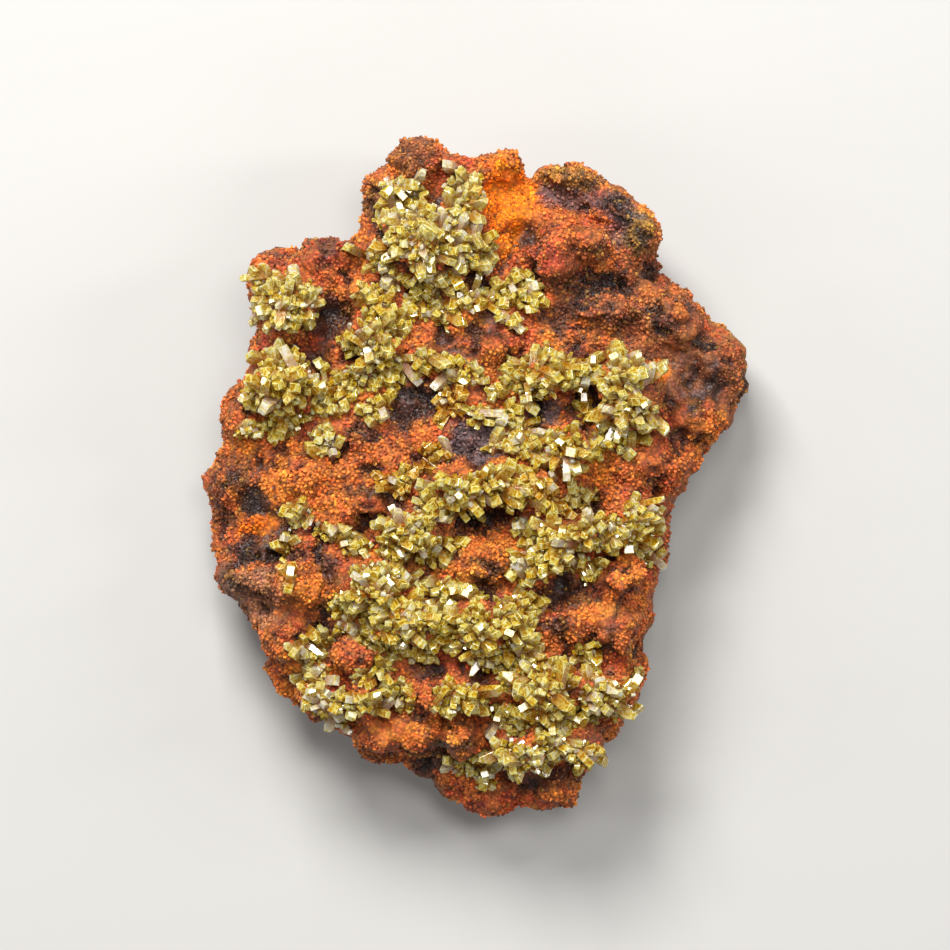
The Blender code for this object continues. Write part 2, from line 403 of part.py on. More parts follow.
def build_rock(parts, cutters):
    bm = bmesh.new()
    rock_body(bm)
    bmesh.ops.recalc_face_normals(bm, faces=bm.faces[:])
    rock_lumps(bm)
    broken_sides(bm)
    rock = object_of("limonite_matrix", bm, parts)
    fused = rock.modifiers.new("Fused", "REMESH")
    fused.mode = "VOXEL"
    fused.voxel_size = VOXEL
    apply_modifiers(rock)
    roughen(rock.data)
    sink_hollows(rock.data)
    fewer = rock.modifiers.new("Fewer faces", "DECIMATE")
    fewer.ratio = ROCK_FACES_KEPT
    fewer.use_collapse_triangulate = True

    bm = bmesh.new()
    slab = Matrix.Translation((0, 0, FOOTPRINT_TRIM - 100 * MM)) @ Matrix.Scale(0.1, 4)
    bmesh.ops.create_cube(bm, size=2.0, matrix=slab)
    add_boolean(rock, "DIFFERENCE", helper_of("below_the_back", bm, cutters))
    apply_modifiers(rock)
    # Puts the origin at the middle of the rock's footprint box, on its flat back
    corners = [Vector(corner) for corner in rock.bound_box]
    middle = 0.5 * (corners[0] + corners[6])
    rock.data.transform(Matrix.Translation((-middle.x, -middle.y, -FOOTPRINT_TRIM)))
    return rock


def surface_of(piece):
    """A function from x and y to the highest point of the piece there and its normal.

    Past the outline it gives the height of the rim, which is looked for towards the middle.
    """
    tree = BVHTree.FromObject(piece, bpy.context.evaluated_depsgraph_get())

    def hit(x, y):
        point = None
        inwards = 1.0
        while point is None:
            above = Vector((x * inwards, y * inwards, 100 * MM))
            point, normal, _, _ = tree.ray_cast(above, Vector((0, 0, -1)))
            inwards -= 0.02
        return Vector((x, y, point.z)), normal

    return hit


def trim(bm, point, normal):
    """Cuts off what lies past a plane and closes the cut with one flat face."""
    geometry = bm.verts[:] + bm.edges[:] + bm.faces[:]
    cut = bmesh.ops.bisect_plane(bm, geom=geometry, plane_co=point, plane_no=normal, clear_outer=True)
    edges = [part for part in cut["geom_cut"] if isinstance(part, bmesh.types.BMEdge)]
    if edges:
        bmesh.ops.edgenet_fill(bm, edges=edges)


def prism(width, thickness, length):
    """An adamite crystal along +Z from its foot: a four-sided prism closed by two sloping dome faces."""
    bm = bmesh.new()
    box = Matrix.Translation((0, 0, length / 2)) @ Matrix.Diagonal((width, thickness, length, 1.0))
    bmesh.ops.create_cube(bm, size=1.0, matrix=box)
    for side in (-1, 1):
        slope = Vector((side, 0.0, 1.05)).normalized()
        trim(bm, Vector((0, 0, length)) - slope * 0.06 * width, slope)
    return bm


def crystal_axis(foot, tip):
    """A frame at the foot with +Z towards the tip."""
    axis = tip - foot
    turn = axis.to_track_quat("Z", "X").to_matrix().to_4x4()
    return Matrix.Translation(foot) @ turn, axis.length


def build_crystal(name, foot, tip, width, thickness, roll, helpers):
    frame, length = crystal_axis(foot, tip)
    bm = prism(width, thickness, length)
    bmesh.ops.transform(bm, matrix=frame @ Matrix.Rotation(roll, 4, "Z"), verts=bm.verts[:])
    return helper_of(name, bm, helpers)


def crust_pad(name, patch, surface, helpers):
    """The layer that a group's crystals stand on: a faceted cushion draped over the rock."""
    x, y, wide, long, turn = patch
    sides = 7 if wide + long < 5.0 else 10
    spin = Matrix.Rotation(math.radians(turn), 2)
    bm = bmesh.new()

    def lay(share, angle, rise):
        flat = spin @ Vector((wide * share * math.cos(angle), long * share * math.sin(angle)))
        point, _ = surface((x + flat.x) * MM, (y + flat.y) * MM)
        return bm.verts.new(point + Vector((0, 0, rise)))

    angles = [2.0 * math.pi * k / sides for k in range(sides)]
    rim = [lay(1.0, angle, 0.35 * CRUST) for angle in angles]
    shoulder = [lay(0.74, angle, CRUST) for angle in angles]
    crown = lay(0.0, 0.0, 1.25 * CRUST)
    foot = bm.verts.new(crown.co - Vector((0, 0, 6.0 * CRUST)))
    for k in range(sides):
        n = (k + 1) % sides
        bm.faces.new((rim[k], rim[n], shoulder[n], shoulder[k]))
        bm.faces.new((shoulder[k], shoulder[n], crown))
        bm.faces.new((rim[n], rim[k], foot))
    bmesh.ops.triangulate(bm, faces=bm.faces[:])
    return helper_of(name, bm, helpers)


def grow_patch(name, patch, surface, dice, helpers):
    """Crystals over one patch of crust, leaning outwards from its middle."""
    x, y, wide, long, turn = patch
    count = max(1, round(math.pi * wide * long / CRYSTAL_AREA))
    spin = Matrix.Rotation(math.radians(turn), 2)
    for k in range(count):
        # Seeds on a sunflower spiral, so that they are evenly spread
        share = math.sqrt((k + 0.5) / count)
        angle = k * math.pi * (3.0 - math.sqrt(5.0)) + dice.uniform(-0.3, 0.3)
        spread = spin @ Vector((wide * share * math.cos(angle), long * share * math.sin(angle)))
        foot, normal = surface((x + 0.86 * spread.x) * MM, (y + 0.86 * spread.y) * MM)
        lean = Vector((spread.x, spread.y, 0.0)) * (0.55 / max(wide, long))
        wander = Vector((dice.uniform(-1, 1), dice.uniform(-1, 1), 0.0)) * 0.55
        axis = (normal * 0.5 + Vector((0, 0, 0.7)) + lean + wander).normalized()
        length = dice.uniform(2.4, 3.9) * MM
        width = dice.uniform(1.5, 2.5) * MM
        tip = foot + axis * length
        root = foot - axis * 0.8 * MM
        thickness = width * dice.uniform(0.6, 0.95)
        build_crystal(f"{name}_{k}", root, tip, width, thickness, dice.uniform(0, math.pi), helpers)


def open_prism(name, row, surface, helpers):
    """A prism placed by eye: its foot is sunk in the rock or in its group's crust."""
    x0, y0, x1, y1, rise, width, thickness = row
    foot, _ = surface(x0 * MM, y0 * MM)
    below, _ = surface(x1 * MM, y1 * MM)
    tip = Vector((x1 * MM, y1 * MM, max(foot.z, below.z) + rise * MM))
    root = foot + (foot - tip).normalized() * 0.9 * MM
    return build_crystal(name, root, tip, width * MM, thickness * MM, 0.0, helpers)


def separate_bodies(bm):
    """The faces of each body: faces are of one body when they share an edge."""
    left = set(bm.faces)
    bodies = []
    while left:
        stack = [left.pop()]
        body = list(stack)
        while stack:
            for edge in stack.pop().edges:
                for face in edge.link_faces:
                    if face in left:
                        left.remove(face)
                        stack.append(face)
                        body.append(face)
        bodies.append(body)
    return sorted(bodies, key=len)


def keep_largest_body(mesh, merge_angle):
    """Drops splinters, merges flat faces, and tells whether what is left is one closed body."""
    bm = bmesh.new()
    bm.from_mesh(mesh)
    for body in separate_bodies(bm)[:-1]:
        area = sum(face.calc_area() for face in body) / MM**2
        middle = sum((face.calc_center_median() for face in body), Vector()) / len(body) / MM
        print("  drops", round(area, 1), "mm2 near", tuple(round(n, 1) for n in middle))
        bmesh.ops.delete(bm, geom=body, context="FACES")
    if merge_angle > 0.0:
        bmesh.ops.dissolve_limit(bm, angle_limit=merge_angle, verts=bm.verts[:], edges=bm.edges[:])
        bmesh.ops.triangulate(bm, faces=bm.faces[:])
    closed = all(edge.is_manifold and edge.is_contiguous for edge in bm.edges)
    closed = closed and all(vert.is_manifold for vert in bm.verts) and len(bm.faces) > 0
    bm.to_mesh(mesh)
    bm.free()
    return closed


def thin_out(group):
    """Leaves out faces that hardly change the shape, as many as keep it one closed body."""
    full = group.data
    for share in GROUP_FACES_KEPT:
        group.data = full
        fewer = group.modifiers.new("Fewer faces", "DECIMATE")
        fewer.ratio = share
        group.data = evaluated_mesh(group)
        group.modifiers.clear()
        if keep_largest_body(group.data, math.radians(2.0)):
            return share
    group.data = full
    keep_largest_body(full, 0.0)
    return 1.0


def grown_copy(piece, cutters):
    """The piece grown by the gap: the cutter that keeps its neighbours off it."""
    bm = bmesh.new()
    bm.from_mesh(piece.data)
    bm.normal_update()
    moves = [(vert, vert.normal * GAP * min(1.5, vert.calc_shell_factor())) for vert in bm.verts]
    for vert, move in moves:
        vert.co += move
    return helper_of(piece.name + "_with_gap", bm, cutters)


def meets(piece, other):
    graph = bpy.context.evaluated_depsgraph_get()
    return bool(BVHTree.FromObject(piece, graph).overlap(BVHTree.FromObject(other, graph)))


def build_group(name, patches, prisms, surface, shells, parts, cutters):
    helpers = bpy.data.collections.new(name + "_pieces")
    cutters.children.link(helpers)
    dice = random.Random(name)
    pads = [crust_pad(f"{name}_crust_{k}", patch, surface, helpers) for k, patch in enumerate(patches)]
    for k, patch in enumerate(patches):
        grow_patch(f"{name}_{k}", patch, surface, dice, helpers)
    for k, row in enumerate(prisms):
        open_prism(f"{name}_prism_{k}", row, surface, helpers)
    base = (pads or list(helpers.objects))[0]
    group = bpy.data.objects.new(name, base.data.copy())
    parts.objects.link(group)
    helpers.objects.unlink(base)
    bpy.data.objects.remove(base)
    # A grown copy meets itself in creases, where the exact solver leaves open edges
    if helpers.objects:
        add_boolean(group, "UNION", helpers, solver="MANIFOLD")
        apply_modifiers(group)
    for shell in shells:
        if meets(group, shell):
            add_boolean(group, "DIFFERENCE", shell, solver="MANIFOLD")
            apply_modifiers(group)
    share = thin_out(group)
    print(name, len(group.data.polygons), "triangles, share kept", share)
    return group


def main():
    clear_scene()
    parts = collection_of("adamite_on_limonite")
    cutters = collection_of("cutters")
    stone = finish("limonite", (0.36, 0.13, 0.045), 0.85)
    clear = finish("adamite", (0.62, 0.58, 0.24), 0.12, transmission=0.6)

    rock = build_rock(parts, cutters)
    rock.data.materials.clear()
    rock.data.materials.append(stone)
    print("limonite_matrix", sum(len(face.vertices) - 2 for face in rock.data.polygons), "triangles")

    surface = surface_of(rock)
    shells = [grown_copy(rock, cutters)]
    for name in list(GROUPS) + [name for name in PRISMS if name not in GROUPS]:
        patches = GROUPS.get(name, ())
        prisms = PRISMS.get(name, ())
        group = build_group(name, patches, prisms, surface, shells, parts, cutters)
        group.data.materials.clear()
        group.data.materials.append(clear)
        shells.append(grown_copy(group, cutters))


main()
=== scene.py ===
# %% [markdown]
# # Adamite on limonite
#
# A hand specimen: yellow-green adamite crystals on a loose piece of limonite, the rusty,
# grainy crust that iron ores weather to. The rock lies on its broken back, crystal face up.
# The CAD solids give the rock's shape and the places of the crystal groups. This script
# dresses them: a finer rock, its grains, and crystals with clean faces.

import json
import math

import bmesh
import bpy
import numpy as np
from mathutils import Matrix, Vector, noise
from mathutils.bvhtree import BVHTree

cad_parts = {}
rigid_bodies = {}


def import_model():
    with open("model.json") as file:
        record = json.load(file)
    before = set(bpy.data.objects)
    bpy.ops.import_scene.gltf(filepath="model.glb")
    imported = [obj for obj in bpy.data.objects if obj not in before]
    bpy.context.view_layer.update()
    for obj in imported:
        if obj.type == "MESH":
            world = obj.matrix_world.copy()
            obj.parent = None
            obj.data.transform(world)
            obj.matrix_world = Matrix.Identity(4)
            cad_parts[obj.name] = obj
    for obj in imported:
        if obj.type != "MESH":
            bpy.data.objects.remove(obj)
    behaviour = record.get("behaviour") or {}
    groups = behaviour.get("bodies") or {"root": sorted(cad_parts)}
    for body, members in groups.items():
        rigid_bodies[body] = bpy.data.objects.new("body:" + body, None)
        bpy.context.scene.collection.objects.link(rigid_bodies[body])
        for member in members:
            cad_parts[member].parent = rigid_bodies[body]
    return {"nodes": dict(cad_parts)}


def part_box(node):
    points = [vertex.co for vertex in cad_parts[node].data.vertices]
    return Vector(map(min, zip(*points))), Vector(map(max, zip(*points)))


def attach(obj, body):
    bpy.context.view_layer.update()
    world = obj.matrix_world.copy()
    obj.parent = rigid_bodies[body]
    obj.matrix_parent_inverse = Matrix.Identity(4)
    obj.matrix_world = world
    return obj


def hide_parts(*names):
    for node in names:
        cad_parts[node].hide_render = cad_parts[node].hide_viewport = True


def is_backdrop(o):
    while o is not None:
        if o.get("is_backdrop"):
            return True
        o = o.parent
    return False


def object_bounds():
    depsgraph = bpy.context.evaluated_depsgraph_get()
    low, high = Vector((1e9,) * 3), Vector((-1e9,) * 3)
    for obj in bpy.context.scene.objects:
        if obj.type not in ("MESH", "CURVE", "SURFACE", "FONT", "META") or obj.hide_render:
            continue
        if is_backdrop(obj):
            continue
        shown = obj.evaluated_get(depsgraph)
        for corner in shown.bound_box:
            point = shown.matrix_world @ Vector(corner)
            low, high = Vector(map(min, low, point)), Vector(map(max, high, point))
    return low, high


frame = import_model()
cad_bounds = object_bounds()
MM = 0.001
rock_solid = frame["nodes"]["limonite_matrix"]
crystal_solids = dict(frame["nodes"])
del crystal_solids["limonite_matrix"]
SEED = 11
rng = np.random.default_rng(SEED)
# Noise vectors would otherwise be seeded from the clock
noise.seed_set(SEED)
print("solids:", len(frame["nodes"]), "box:", cad_bounds)

# %% [markdown]
# ## Camera and light
#
# The specimen is seen square on to its crystal face, so the camera hangs straight above it,
# with a long lens that keeps its depth from spreading the rim. A softbox beyond its upper end,
# a little to the left, gives most of the light, as glassy crystals need something bright to
# mirror. Weaker boxes above and round the table catch the faces that lean the other ways.

# %% Camera
FIELD = 125.0 * MM
HEIGHT = 0.90
SENSOR_MM = 36.0
camera_data = bpy.data.cameras.new("camera")
camera_data.sensor_width = SENSOR_MM
camera_data.lens = SENSOR_MM * HEIGHT / FIELD
camera_data.clip_start = 0.05
camera = bpy.data.objects.new("camera", camera_data)
camera.location = (-0.5 * MM, 0.35 * MM, HEIGHT + 12 * MM)
bpy.context.collection.objects.link(camera)
bpy.context.scene.camera = camera
print("lens", round(camera_data.lens), "mm")


# %% Light and floor
SPECIMEN = Vector((0, 0, 0.02))


def softbox(name, place, width, length, radiance):
    """A soft light aimed at the specimen; radiance sets how bright its mirror image is."""
    data = bpy.data.lights.new(name, "AREA")
    data.shape = "RECTANGLE"
    data.size = width
    data.size_y = length
    data.energy = radiance * math.pi * width * length
    box = bpy.data.objects.new(name, data)
    box.location = place
    box.rotation_euler = (SPECIMEN - Vector(place)).to_track_quat("-Z", "Y").to_euler()
    bpy.context.collection.objects.link(box)


softbox("key_softbox", (-0.15, 0.44, 0.50), 0.30, 0.24, 31.0)
softbox("top_softbox", (0.10, 0.20, 0.86), 0.34, 0.22, 12.0)
softbox("left_strip", (-0.50, -0.02, 0.26), 0.08, 0.34, 8.0)
softbox("right_strip", (0.48, 0.10, 0.34), 0.10, 0.32, 12.0)
softbox("front_strip", (0.05, -0.46, 0.36), 0.30, 0.06, 6.0)

world = bpy.data.worlds.new("studio")
bpy.context.scene.world = world
world.use_nodes = True
background = world.node_tree.nodes["Background"]
background.inputs["Color"].default_value = (0.94, 0.96, 1.0, 1.0)
background.inputs["Strength"].default_value = 0.16
bpy.context.scene.view_settings.view_transform = "Standard"

# The floor is a hair below the rock, so that the two surfaces don't mix
FLOOR_Z = -0.05 * MM
floor_mesh = bmesh.new()
bmesh.ops.create_grid(floor_mesh, x_segments=1, y_segments=1, size=3.0)
floor_data = bpy.data.meshes.new("floor")
floor_mesh.to_mesh(floor_data)
floor_mesh.free()
floor_data.transform(Matrix.Translation((0, 0, FLOOR_Z)))
floor = bpy.data.objects.new("floor", floor_data)
bpy.context.collection.objects.link(floor)
floor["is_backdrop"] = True


# %% [markdown]
# ## Two small helpers
#
# Colours are written as sRGB hex values, the way a colour picker shows them, and one function
# turns them into the linear values that shaders work in. Another adds a node with its settings
# and links, so that each material reads as a short list.

# %% Colour and node helpers
def linear(hex_colour):
    """The linear RGB of an sRGB hex colour."""
    parts = [int(hex_colour[k : k + 2], 16) / 255 for k in (1, 3, 5)]
    return [c / 12.92 if c <= 0.04045 else ((c + 0.055) / 1.055) ** 2.4 for c in parts]


def add_node(tree, kind, inputs, **settings):
    """A node whose inputs are values or other nodes' outputs."""
    made = tree.nodes.new(kind)
    for key, value in settings.items():
        setattr(made, key, value)
    for key, value in inputs.items():
        if isinstance(value, bpy.types.NodeSocket):
            tree.links.new(value, made.inputs[key])
        else:
            made.inputs[key].default_value = value
    return made


def new_material(name):
    """A material with its node tree and its shader."""
    material = bpy.data.materials.new(name)
    material.use_nodes = True
    return material, material.node_tree, material.node_tree.nodes["Principled BSDF"]


# %% Floor finish
# Matt card, pale and neutral, so that it lends the crystals no colour
card, _, card_shader = new_material("pale_card")
card_shader.inputs["Base Color"].default_value = (*linear("#B6B4B0"), 1.0)
card_shader.inputs["Roughness"].default_value = 0.9
floor.data.materials.append(card)


# %% [markdown]
# ## The rock's body
#
# Limonite grows as crusts of tiny rounded knobs, like a cauliflower, on knobs of a few
# millimetres. The solid has the large forms. A copy of it is rebuilt from small cells, which
# gives an even mesh over the whole rock, and its points are moved along their normals: cell
# patterns raise knobs of three sizes, ridged noise adds crags and layered noise sinks pits.

# %% Fine rock body
def mesh_object(name, bm):
    """An object in the scene made of a bmesh, which it frees."""
    data = bpy.data.meshes.new(name)
    bm.to_mesh(data)
    bm.free()
    made = bpy.data.objects.new(name, data)
    bpy.context.collection.objects.link(made)
    return made


def apply_modifiers(piece):
    """Makes a piece's modifiers part of its mesh."""
    graph = bpy.context.evaluated_depsgraph_get()
    data = bpy.data.meshes.new_from_object(piece.evaluated_get(graph))
    piece.modifiers.clear()
    piece.data = data


# Cells of 0.46 mm keep the body under 200,000 triangles
CELL = 0.46 * MM
rock_copy = bmesh.new()
rock_copy.from_mesh(rock_solid.data)
bmesh.ops.remove_doubles(rock_copy, verts=rock_copy.verts[:], dist=0.001 * MM)
rock = mesh_object("limonite_rock", rock_copy)
small_cells = rock.modifiers.new("small cells", "REMESH")
small_cells.mode = "VOXEL"
small_cells.voxel_size = CELL
apply_modifiers(rock)
print("rock body:", len(rock.data.vertices), "points")


# %% Knobs and roughness of the body
def step(value, low, high):
    """A smooth step from 0 at low to 1 at high."""
    share = min(1.0, max(0.0, (value - low) / (high - low)))
    return share * share * (3.0 - 2.0 * share)


# Knobs on knobs: the width of each kind, how far it stands out (mm), where it meets the rest
KNOB_KINDS = ((5.2, 1.5, 0.36), (2.5, 0.9, 0.34), (1.3, 0.45, 0.3))
# How high the crags stand and how deep the pits go (mm)
CRAG_RISE, PIT_DEPTH = 0.16, 1.3


def knob_height(point):
    """How far the surface stands out at a point of the rock, in metres."""
    warp = noise.noise_vector(point / (3.0 * MM)) * 0.9 * MM
    height = 0.0
    for width, rise, level in KNOB_KINDS:
        middle = noise.voronoi((point + warp) / (width * MM))[0][0]
        height += rise * (level - middle**1.6)
    pit = noise.fractal(point / (4.2 * MM), 0.9, 2.1, 3)
    crags = noise.ridged_multi_fractal(point / (3.4 * MM), 1.0, 2.2, 3, 1.0, 2.0)
    return (height + CRAG_RISE * (crags - 1.2) - PIT_DEPTH * step(-pit, 0.22, 0.7)) * MM


def point_array(values, field, size=3):
    """One field of a mesh's points or normals as an array of rows."""
    rows = np.empty(len(values) * size)
    values.foreach_get(field, rows)
    return rows.reshape(-1, size)


points = point_array(rock.data.vertices, "co")
outwards = point_array(rock.data.vertex_normals, "vector")
# The flat back stays flat, so that the rock rests on it
FLAT_TO, ROUGH_FROM = 0.2 * MM, 2.5 * MM
heights = [knob_height(Vector(p)) * step(p[2], FLAT_TO, ROUGH_FROM) for p in points]
points += outwards * np.array(heights)[:, None]
points[:, 2] = np.maximum(points[:, 2], 0.0)
rock.data.vertices.foreach_set("co", points.ravel())
rock.data.update()
rock.data.shade_smooth()
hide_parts("limonite_matrix")
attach(rock, "root")
print("tallest knob", round(max(heights) / MM, 2), "mm")

# %% [markdown]
# ## The rock's colours
#
# Iron oxides change colour with their water and grain size: rust orange all over, brick red in
# sheltered hollows, golden ochre and bright orange powder where it is softest, brown where it
# is massive, and slate grey where dense goethite shows. Black ovals are painted shade in the
# hollows, in cracks and under ledges. The zones are listed as soft-edged ovals in millimetres,
# and each point's colour is kept on the mesh.

# %% Colour zones
COLOURS = {
    "rust": "#CC6A2E",
    "orange": "#E4842C",
    "bright": "#FF8604",
    "ochre": "#CA983E",
    "red": "#C0542E",
    "brown": "#885232",
    "black": "#2E2422",
    "slate": "#5A5056",
    "grey": "#8C745E",
}
# The black ovals are painted shade in hollows, in cracks and under ledges
# x, y, half width, half length, turn in degrees (mm), colour, strength
ZONES = (
    (3.8, 36.0, 3.6, 5.6, 8, "bright", 0.95), (23.5, 14.0, 1.6, 1.4, 0, "bright", 0.9),
    (-29.0, -6.2, 3.0, 1.2, 14, "bright", 0.7), (-22.0, -15.0, 5.6, 3.0, -15, "orange", 0.8),
    (0.0, -11.0, 5.4, 3.8, 0, "orange", 0.8), (-24.0, -2.0, 8.0, 3.4, 0, "orange", 0.5),
    (9.0, 28.4, 4.6, 4.2, 0, "red", 0.75), (-5.0, 41.6, 4.0, 1.8, 0, "red", 0.7),
    (-21.0, 29.0, 6.6, 3.2, 10, "red", 0.55), (5.0, 18.6, 4.4, 2.2, 0, "red", 0.6),
    (-10.0, 15.6, 1.8, 2.2, 0, "red", 0.9), (-23.0, 7.2, 2.6, 2.0, 0, "red", 0.9),
    (3.0, -16.5, 2.2, 1.4, 0, "red", 0.9), (-7.0, -17.0, 1.8, 1.4, 0, "red", 0.8),
    (-7.0, -29.0, 3.0, 2.6, 0, "red", 0.8), (11.5, -37.8, 2.6, 1.6, 0, "red", 0.7),
    (-17.6, -26.8, 2.6, 1.6, 20, "red", 0.8), (9.0, -5.4, 3.0, 2.0, 0, "red", 0.5),
    (4.0, -43.6, 7.0, 2.4, 0, "red", 0.85), (24.0, -2.0, 2.2, 9.0, 0, "red", 0.5),
    (24.0, 16.0, 9.0, 6.0, -25, "brown", 0.75), (31.5, 13.0, 6.0, 5.0, -25, "brown", 0.6),
    (17.0, 22.0, 8.0, 2.6, -5, "brown", 0.55), (22.0, 27.0, 4.0, 6.0, 25, "brown", 0.5),
    (-30.0, -15.5, 5.0, 5.0, -30, "grey", 0.6), (-8.6, 42.4, 3.2, 3.2, 0, "brown", 0.8),
    (-16.0, -37.0, 4.0, 2.0, 0, "brown", 0.5), (21.0, 32.4, 2.4, 3.2, 0, "ochre", 0.8),
    (12.0, 39.2, 4.6, 1.6, -5, "ochre", 0.65), (-14.0, 36.6, 2.4, 2.4, 0, "ochre", 0.4),
    (11.4, 36.6, 4.2, 1.7, -12, "slate", 0.75), (18.6, 35.4, 3.4, 1.8, -25, "slate", 0.85),
    (18.0, 31.8, 1.8, 2.2, 0, "slate", 0.6), (14.4, 25.4, 5.8, 1.8, 4, "black", 0.95),
    (-19.4, 20.4, 2.4, 3.4, 10, "black", 0.85), (-8.2, 9.8, 3.6, 2.6, 20, "black", 0.85),
    (-0.4, 4.8, 4.6, 2.8, 0, "slate", 0.9), (8.4, 8.6, 2.4, 1.9, 0, "slate", 0.9),
    (12.5, 9.0, 1.5, 3.6, 5, "black", 0.8), (0.6, -5.4, 6.0, 1.8, 20, "black", 0.8),
    (10.4, -15.3, 5.2, 1.9, 8, "black", 0.9), (-27.6, -9.8, 6.0, 1.3, -3, "black", 0.85),
    (-19.8, -11.8, 2.8, 1.5, -55, "black", 0.85), (-29.4, -3.3, 2.3, 1.8, 12, "black", 0.9),
    (-31.6, 1.8, 2.6, 1.6, 0, "black", 0.6), (-34.6, -2.0, 1.2, 3.0, 0, "black", 0.6),
    (-7.0, -25.2, 2.8, 1.3, 0, "black", 0.85), (-6.0, -37.0, 3.4, 2.2, 30, "black", 0.85),
    (9.4, -39.6, 3.8, 1.5, 5, "black", 0.7), (-4.0, 12.0, 2.4, 2.0, 0, "black", 0.5),
    (-12.6, 33.4, 1.4, 1.6, 0, "black", 0.5), (-19.0, -18.0, 1.6, 2.2, 0, "black", 0.5),
    (13.0, 22.8, 4.8, 1.0, 10, "black", 0.7), (15.4, -33.4, 2.4, 1.4, 0, "black", 0.5),
)


def blend_colour(base, name, share):
    """A colour mixed with a share of one of the named colours."""
    other = linear(COLOURS[name])
    return [b + (o - b) * share for b, o in zip(base, other)]


def rust_colour(point, normal, height):
    """The linear colour at a point: the ground colour, then the zones, then painted shade in its
    crevices and painted light on its knobs.
    """
    p = point / MM
    patch = noise.fractal(p / 7.0, 0.8, 2.0, 3)
    speck = noise.noise(p / 1.1)
    colour = blend_colour(linear(COLOURS["rust"]), "orange", step(patch, 0.0, 0.55) * 0.8)
    colour = blend_colour(colour, "red", step(-patch, 0.05, 0.6) * 0.7)
    warp = noise.noise_vector(p / 2.4) * 0.5 + noise.noise_vector(p / 0.8) * 0.3
    powder = 0.0
    for x, y, wide, long, turn, name, strength in ZONES:
        dx, dy = p.x - x, p.y - y
        reach = 1.6 * max(wide, long)
        if abs(dx) < reach and abs(dy) < reach:
            c, s = math.cos(math.radians(turn)), math.sin(math.radians(turn))
            u = (dx * c + dy * s) / wide + warp.x
            v = (dy * c - dx * s) / long + warp.y
            inside = 1.0 - step(u * u + v * v, 0.45, 1.35)
            if name == "bright":
                powder = max(powder, inside * strength)
            elif inside > 0.0:
                shown = step(normal.z, -0.3, 0.5)
                colour = blend_colour(colour, name, inside * strength * shown)
    colour = blend_colour(colour, "black", step(speck, 0.22, 0.6) * 0.5)
    # Painted shade darkens the crevices and painted light brightens the tops of the knobs; faces
    # turned downwards are browner
    colour = blend_colour(colour, "black", step(-height / MM, 0.05, 0.8) * 0.85)
    colour = blend_colour(colour, "orange", step(height / MM, 0.1, 0.6) * 0.3)
    colour = blend_colour(colour, "brown", (1.0 - step(normal.z, -0.6, 0.2)) * 0.6)
    # The sides are broken rock, duller than the crust on top, with a few ochre seams
    side = 1.0 - step(normal.z, 0.1, 0.75)
    broken = noise.fractal(p / 5.0, 0.9, 2.0, 3)
    colour = blend_colour(colour, "brown", side * (0.25 + 0.5 * step(broken, -0.1, 0.3)))
    colour = blend_colour(colour, "ochre", side * 0.5 * step(-patch, 0.2, 0.6))
    # Powder lies on top of everything
    return blend_colour(colour, "bright", powder)


def paint(piece, colours, per_point=1):
    """Keeps one linear colour for each point of a mesh, or for each run of points."""
    layer = piece.data.attributes.new("rust", "FLOAT_COLOR", "POINT")
    rgba = np.ones((len(colours), 4), np.float32)
    rgba[:, :3] = colours
    layer.data.foreach_set("color", np.repeat(rgba, per_point, axis=0).ravel())


# The body shows in the gaps between the grains, so it is darkened as painted shade between them
GAP_SHADE = 0.65
outwards = point_array(rock.data.vertex_normals, "vector")
body_colours = [
    rust_colour(Vector(p), Vector(n), h) for p, n, h in zip(points, outwards, heights)
]
paint(rock, np.array(body_colours) * GAP_SHADE)
print("painted", len(rock.data.vertices), "points from", len(ZONES), "zones")

# %% [markdown]
# Limonite is earthy: it has next to no gloss, apart from its dense black parts, which shine a
# little. The finish reads the kept colour, darkens and lightens it by grit of a third of a
# millimetre, paints shade and light on grains of half a millimetre, dark where they meet,
# lowers the roughness where the colour is dark and adds a fine bump.

# %% Limonite finish
limonite, tree, shader = new_material("limonite_earthy")
place = add_node(tree, "ShaderNodeTexCoord", {}).outputs["Object"]
kept = add_node(tree, "ShaderNodeAttribute", {}, attribute_name="rust").outputs["Color"]
GRIT = 1.0 / (0.34 * MM)
grit = add_node(
    tree, "ShaderNodeTexNoise", {"Vector": place, "Scale": GRIT, "Detail": 3.0}
).outputs["Fac"]
shade = add_node(
    tree,
    "ShaderNodeMapRange",
    {"Value": grit, "From Min": 0.3, "From Max": 0.7, "To Min": 0.74, "To Max": 1.28},
).outputs["Result"]
# Painted shade and light on round grains too small to model: pale in the middle and dark where they
# meet; the same pattern also raises the bump
GRAIN = 1.0 / (0.5 * MM)
cells = add_node(
    tree, "ShaderNodeTexVoronoi", {"Vector": place, "Scale": GRAIN}
).outputs["Distance"]
grain_shade_and_relief = add_node(
    tree,
    "ShaderNodeMapRange",
    {"Value": cells, "From Min": 0.15, "From Max": 0.7, "To Min": 1.5, "To Max": 0.65},
).outputs["Result"]
shade_all = add_node(
    tree, "ShaderNodeMath", {0: shade, 1: grain_shade_and_relief}, operation="MULTIPLY"
).outputs["Value"]
